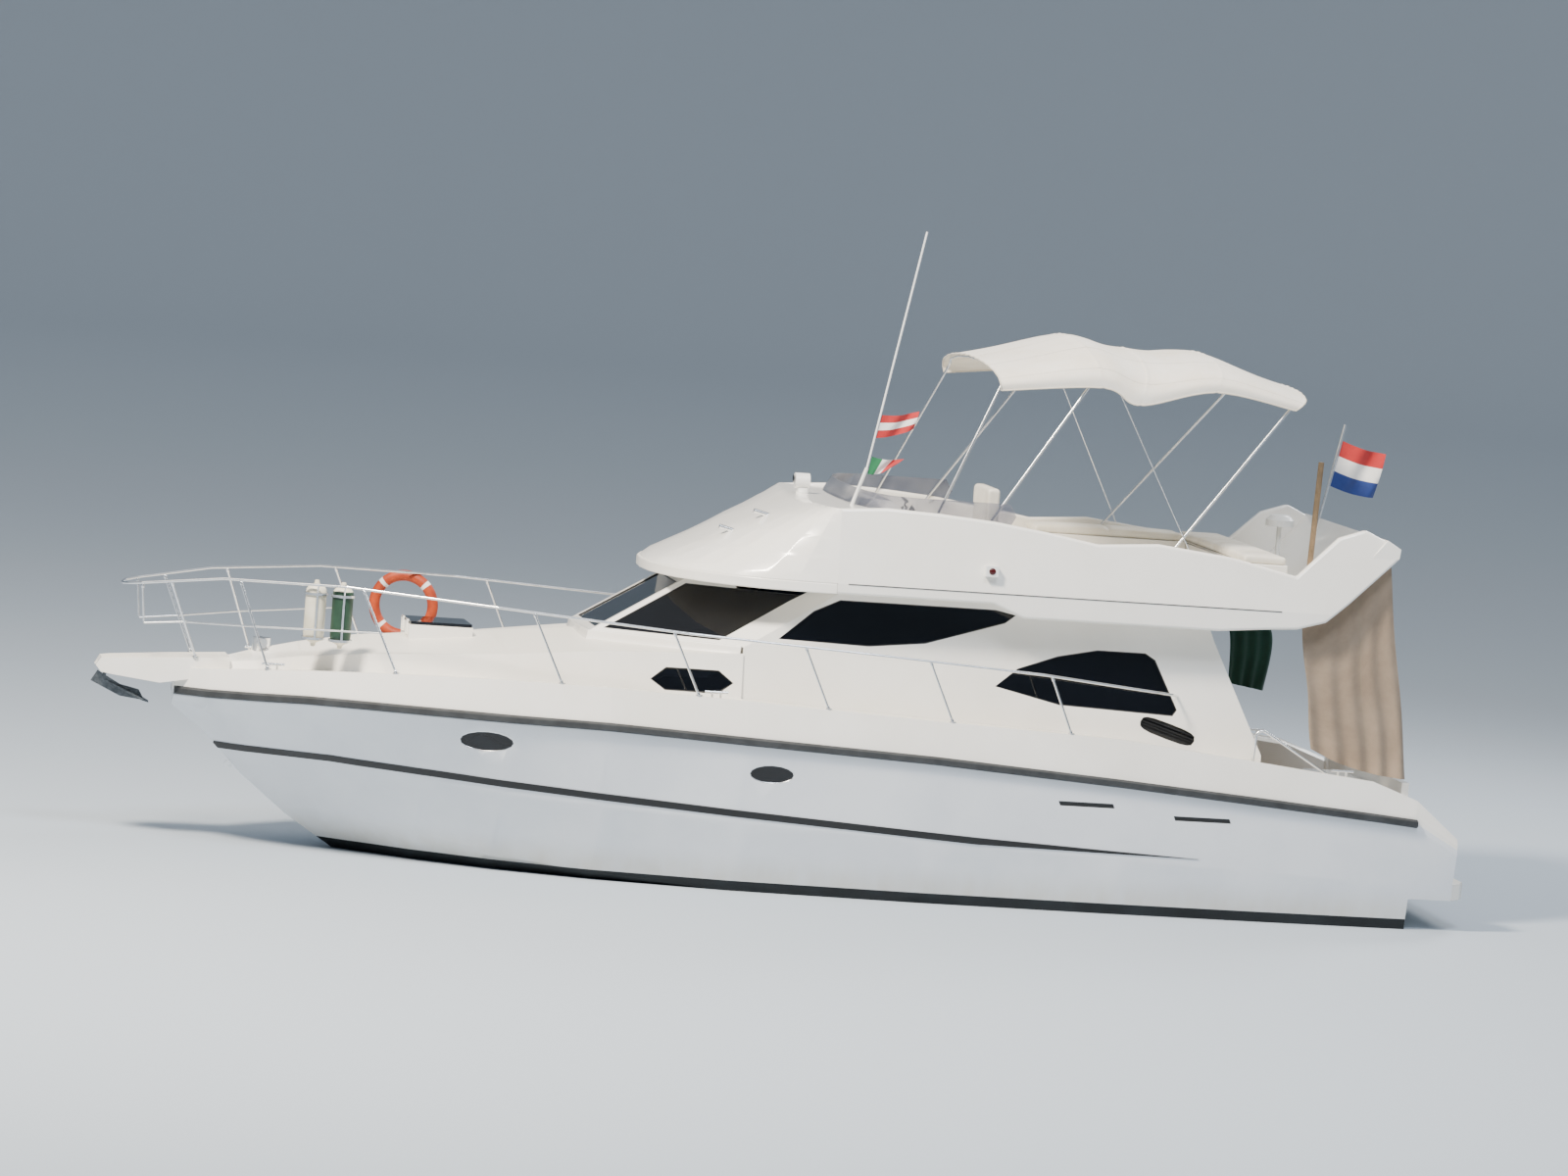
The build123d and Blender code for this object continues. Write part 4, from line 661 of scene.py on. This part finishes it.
ROUND_US, ROUND_VS = [k / 80 for k in range(81)], [k / 120 for k in range(121)]     # places along its edges
canopy_across = length_of(canopy_line(ROUND_US, [0.5]))
canopy = cloth_grid("bimini_canopy.cloth", CANVAS, 72, 240, canopy_shape, (canopy_across, 3.3))
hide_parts("bimini_canopy")
hem_lines = [canopy_line([u], ROUND_VS) for u in (0.0, 1.0)] + [canopy_line(ROUND_US, [v]) for v in (0.0, 1.0)]
hem = piping("bimini_canopy.hem", hem_lines, HEM_R, CANVAS, closed=False)


# ---------------------------------------------------------------- side screens
# rows of (x, z) along the top and the foot
SCREEN_TOP = [(-4.76, 2.80), (-5.00, 2.91), (-5.22, 3.10), (-5.42, 3.29), (-5.585, 3.44)]
SCREEN_FOOT = [(-4.93, 1.66), (-5.18, 1.55), (-5.43, 1.48), (-5.67, 1.44), (-5.89, 1.42)]
SCREEN_Y, SCREEN_LEAN = 1.55, 0.045        # place of its foot, and how far it leans in for each metre above that


def screen_shape(u, v):
    """Along by u, top to foot by v, with hanging folds that deepen towards the foot."""
    x, z = (t + (f - t) * v for t, f in zip(between(SCREEN_TOP, u), between(SCREEN_FOOT, u)))
    fold = 0.020 * (0.2 + 0.8 * v) * math.sin(u * 2 * math.pi * 4.5 + 1.6 * v + 0.8 * math.sin(5 * v))
    return (x + 0.008 * math.sin(9 * v + 5 * u), SCREEN_Y - (z - 1.45) * SCREEN_LEAN + fold, z)


# made in the darkened taupe canvas, which is painted shade
screen = cloth_grid("side_screen.cloth", SHADED_SCREEN_CLOTH, 120, 90, screen_shape, (1.1, 1.9))
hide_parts("side_screen")

SPARE_TOP = [(-4.60, 2.85), (-4.70, 2.85), (-4.80, 2.85), (-4.88, 2.85)]
SPARE_MID = [(-4.79, 2.50), (-4.93, 2.50), (-5.08, 2.50), (-5.23, 2.50)]
SPARE_FOOT = [(-4.82, 1.97), (-4.94, 1.95), (-5.07, 1.93), (-5.19, 1.91)]
SPARE_Y, SPARE_WIDE = -1.449, 0.47


def spare_shape(u, v):
    """Rolled-down corner of a second screen on the far side, gathered at the top."""
    x, z = between([between(row, u) for row in (SPARE_TOP, SPARE_MID, SPARE_FOOT)], v)
    return (x, SPARE_Y + 0.018 * (0.3 + 0.7 * v) * math.sin(u * 2 * math.pi * 3.5 + v), z)


spare = cloth_grid("spare_screen.cloth", GREEN_CLOTH, 60, 60, spare_shape, (0.45, 0.95))


# ---------------------------------------------------------------- flags
FLAG_U, FLAG_V = 36, 24        # cells along and across


def flag(name, corners, ripple, cloths, stripe, y):
    """Flag between four corners (hoist low, hoist high, fly high, fly low); stripe turns a place (u, v) to a cloth."""
    low, high, far_high, far_low = [Vector((x, y, z)) for x, z in corners]

    def shape(u, v):
        p = low.lerp(high, v).lerp(far_low.lerp(far_high, v), u)
        p.y += ripple * u * math.sin(2 * math.pi * (1.5 * u - 0.4 * v))
        p.z -= 0.02 * math.sin(math.pi * u)
        return p

    size = ((far_high - high).length, (high - low).length)
    piece = cloth_grid(name, cloths, FLAG_U, FLAG_V, shape, size)
    for face in piece.data.polygons:
        u, v = (face.index % FLAG_U + 0.5) / FLAG_U, (face.index // FLAG_U + 0.5) / FLAG_V
        face.material_index = stripe(u, v)
    return piece


ensign = flag("ensign.cloth", [(-5.46, 4.05), (-5.55, 4.50), (-5.99, 4.40), (-5.90, 3.96)], 0.045,
              [BUNTING_BLUE, BUNTING, BUNTING_RED], lambda u, v: min(int(v * 3), 2), -0.55)
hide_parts("flags")
flag("pennant_high.cloth", [(-0.585, 4.31), (-0.625, 4.53), (-0.98, 4.59), (-0.94, 4.42)], 0.030,
     [BUNTING_RED, BUNTING], lambda u, v: 1 if 0.34 < v < 0.66 else 0, 1.0)
flag("pennant_low.cloth", [(-0.53, 3.965), (-0.56, 4.13), (-0.87, 4.13), (-0.71, 4.01)], 0.022,
     [BUNTING_GREEN, BUNTING, BUNTING_RED], lambda u, v: min(int(u * 3), 2), 1.0)


# ---------------------------------------------------------------- cushions
def blown(piece, voxel, cap):
    """Lets the cushion's cover swell under pressure, each point by no more than cap, then keeps that shape."""
    scene, rest = bpy.context.scene, piece.data
    work = bpy.data.objects.new("cover", rest.copy())
    scene.collection.objects.link(work)
    fine = work.modifiers.new("cells", "REMESH")
    fine.mode, fine.voxel_size = "VOXEL", voxel
    mesh = bpy.data.meshes.new_from_object(work.evaluated_get(bpy.context.evaluated_depsgraph_get()))
    work.modifiers.clear()
    work.data = mesh
    start = [v.co.copy() for v in mesh.vertices]
    cover = work.modifiers.new("cover", "CLOTH")
    cover.settings.use_pressure, cover.settings.uniform_pressure_force = True, 4.0
    cover.settings.effector_weights.gravity = 0.0
    cover.settings.quality = 4
    cover.point_cache.frame_start, cover.point_cache.frame_end = 1, 20
    for f in range(1, 21):
        scene.frame_set(f)
    swollen = bpy.data.meshes.new_from_object(work.evaluated_get(bpy.context.evaluated_depsgraph_get()))
    for v, home in zip(swollen.vertices, start):
        move = v.co - home
        v.co = home + (move if move.length <= cap else move.normalized() * cap)
    for m in rest.materials:
        swollen.materials.append(m)
    swollen.polygons.foreach_set("use_smooth", [True] * len(swollen.polygons))
    piece.data = swollen
    bpy.data.objects.remove(work)
    scene.frame_set(1)


INSET = 0.008        # room left for the cover to swell
CELL = 0.03          # spacing of the cuts that let a cushion curve
PULL = 0.012         # how far its sides draw in between its corners
CHANNEL, CHANNEL_WIDE = 0.014, 0.016     # depth and half breadth of a sewn channel


def cushion(name, low, high, crown, seams_at=()):
    """Crowned cushion that rests flat; seams_at gives its sewn channels, as (axis, place) pairs."""
    x0, y0, z0 = low
    x1, y1, z1 = high
    size = Vector((x1 - x0 - 2 * INSET, y1 - y0 - 2 * INSET, z1 - z0 - INSET))
    centre = Vector(((x0 + x1) / 2, (y0 + y1) / 2, z0 + size.z / 2))
    bm = bmesh.new()
    bmesh.ops.create_cube(bm, size=1.0)
    bmesh.ops.scale(bm, vec=size, verts=bm.verts)
    bmesh.ops.bevel(bm, geom=list(bm.edges), offset=min(size) * 0.30, segments=4, profile=0.5, affect="EDGES",
                    material=-1)
    for axis in (0, 1, 2):
        n = max(2, int(size[axis] / CELL))
        for i in range(1, n):
            at, way = Vector((0, 0, 0)), Vector((0, 0, 0))
            at[axis], way[axis] = -size[axis] / 2 + size[axis] * i / n, 1
            everything = list(bm.verts) + list(bm.edges) + list(bm.faces)
            bmesh.ops.bisect_plane(bm, geom=everything, plane_co=at, plane_no=way)
    for v in bm.verts:
        u, w = 2 * v.co.x / size.x, 2 * v.co.y / size.y
        v.co.x -= math.copysign(PULL * max(0.0, 1 - w * w) * abs(u) ** 6, u)
        v.co.y -= math.copysign(PULL * max(0.0, 1 - u * u) * abs(w) ** 6, w)
        if v.co.z > 0:
            v.co.z -= crown * (1 - (1 - abs(u) ** 3) * (1 - abs(w) ** 3))
    bmesh.ops.translate(bm, vec=centre, verts=bm.verts)
    piece = put(name, bm, VINYL, 60)
    blown(piece, 0.011, 0.006)
    for axis, seam in seams_at:
        for v in piece.data.vertices:
            if v.co.z > (z0 + z1) / 2:
                v.co.z -= CHANNEL * math.exp(-((v.co[axis] - seam) / CHANNEL_WIDE) ** 2)
    for v in piece.data.vertices:
        v.co.z = max(v.co.z, z0 + 0.0005)
    smooth = piece.modifiers.new("smooth cover", "SUBSURF")
    smooth.levels = smooth.render_levels = 1
    return piece


seat = cushion("cushion.helm", (-1.75, 0.305, 3.40), (-1.31, 1.045, 3.50), 0.022, [(1, 0.675)])
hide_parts("fly_cushions")
cushion("cushion.helm_back", (-1.835, 0.305, 3.502), (-1.70, 1.045, 3.92), 0.006)
cushion("cushion.aft", (-4.60, -1.375, 3.38), (-4.155, 1.375, 3.48), 0.020, [(1, -0.46), (1, 0.46)])
cushion("cushion.side", (-4.14, -1.375, 3.38), (-2.605, -0.935, 3.48), 0.020, [(0, -3.37)])


# ---------------------------------------------------------------- backdrop, light and camera
# a shallow bowl of pale paper: flat under the boat, curving up far away so that no edge shows
FLAT_R, CURVE_R, WALL = 95, 35, 110
BOWL = [(0.001, 0.0), (60, 0.0), (FLAT_R, 0.0)]
BOWL += [(FLAT_R + CURVE_R * math.sin(a), CURVE_R - CURVE_R * math.cos(a))
         for a in (math.radians(6 * k) for k in range(1, 16))]
BOWL += [(FLAT_R + CURVE_R, WALL)]
bm = spun(BOWL, 64, 0.002)
bowl_mesh = bpy.data.meshes.new("backdrop")
bm.to_mesh(bowl_mesh)
bm.free()
bowl_mesh.polygons.foreach_set("use_smooth", [True] * len(bowl_mesh.polygons))
backdrop = bpy.data.objects.new("backdrop", bowl_mesh)
bpy.context.collection.objects.link(backdrop)
PAPER, _, paper_shader = blank("pale paper", Roughness=0.8)
paper_shader.inputs["Base Color"].default_value = linear("#B4BEC8")
bowl_mesh.materials.append(PAPER)

world = bpy.data.worlds.new("soft studio")
world.use_nodes = True
world.node_tree.nodes["Background"].inputs["Color"].default_value = linear("#E6EBEF")
world.node_tree.nodes["Background"].inputs["Strength"].default_value = 0.85
bpy.context.scene.world = world


def soft_light(name, at, aim, size, power, tint="#FFFFFF"):
    lamp = bpy.data.lights.new(name, "AREA")
    lamp.shape, lamp.size, lamp.energy = "DISK", size, power
    lamp.color = linear(tint)[:3]
    holder = bpy.data.objects.new(name, lamp)
    bpy.context.collection.objects.link(holder)
    holder.location = at
    holder.rotation_mode = "QUATERNION"
    holder.rotation_quaternion = (Vector(aim) - Vector(at)).to_track_quat("-Z", "Y")


soft_light("key", (13, 12, 22), (0, 0, 1.5), 4.5, 15000, "#FFF4E4")
soft_light("fill", (-4, 20, 26), (0, 0, 1.5), 9, 5200, "#EEF4FF")
soft_light("rim", (-13, -10, 13), (0, 0, 2), 7, 1800)

AHEAD, ABOVE, TRIM = math.radians(10.5), math.radians(4.6), math.radians(4.5)
AIM, DISTANCE = Vector((0.0, 0.0, 2.75)), 67
back = Vector((math.sin(AHEAD) * math.cos(ABOVE), math.cos(AHEAD) * math.cos(ABOVE), math.sin(ABOVE)))
lens = bpy.data.cameras.new("camera")
lens.lens, lens.clip_end = 160, 2000
camera = bpy.data.objects.new("camera", lens)
bpy.context.collection.objects.link(camera)
camera.rotation_mode = "QUATERNION"
camera.location = AIM + back * DISTANCE
# the boat trims bow up, so the camera is turned by the same small angle
camera.rotation_quaternion = (-back).to_track_quat("-Z", "Y") @ Quaternion((0, 0, 1), TRIM)
bpy.context.scene.camera = camera
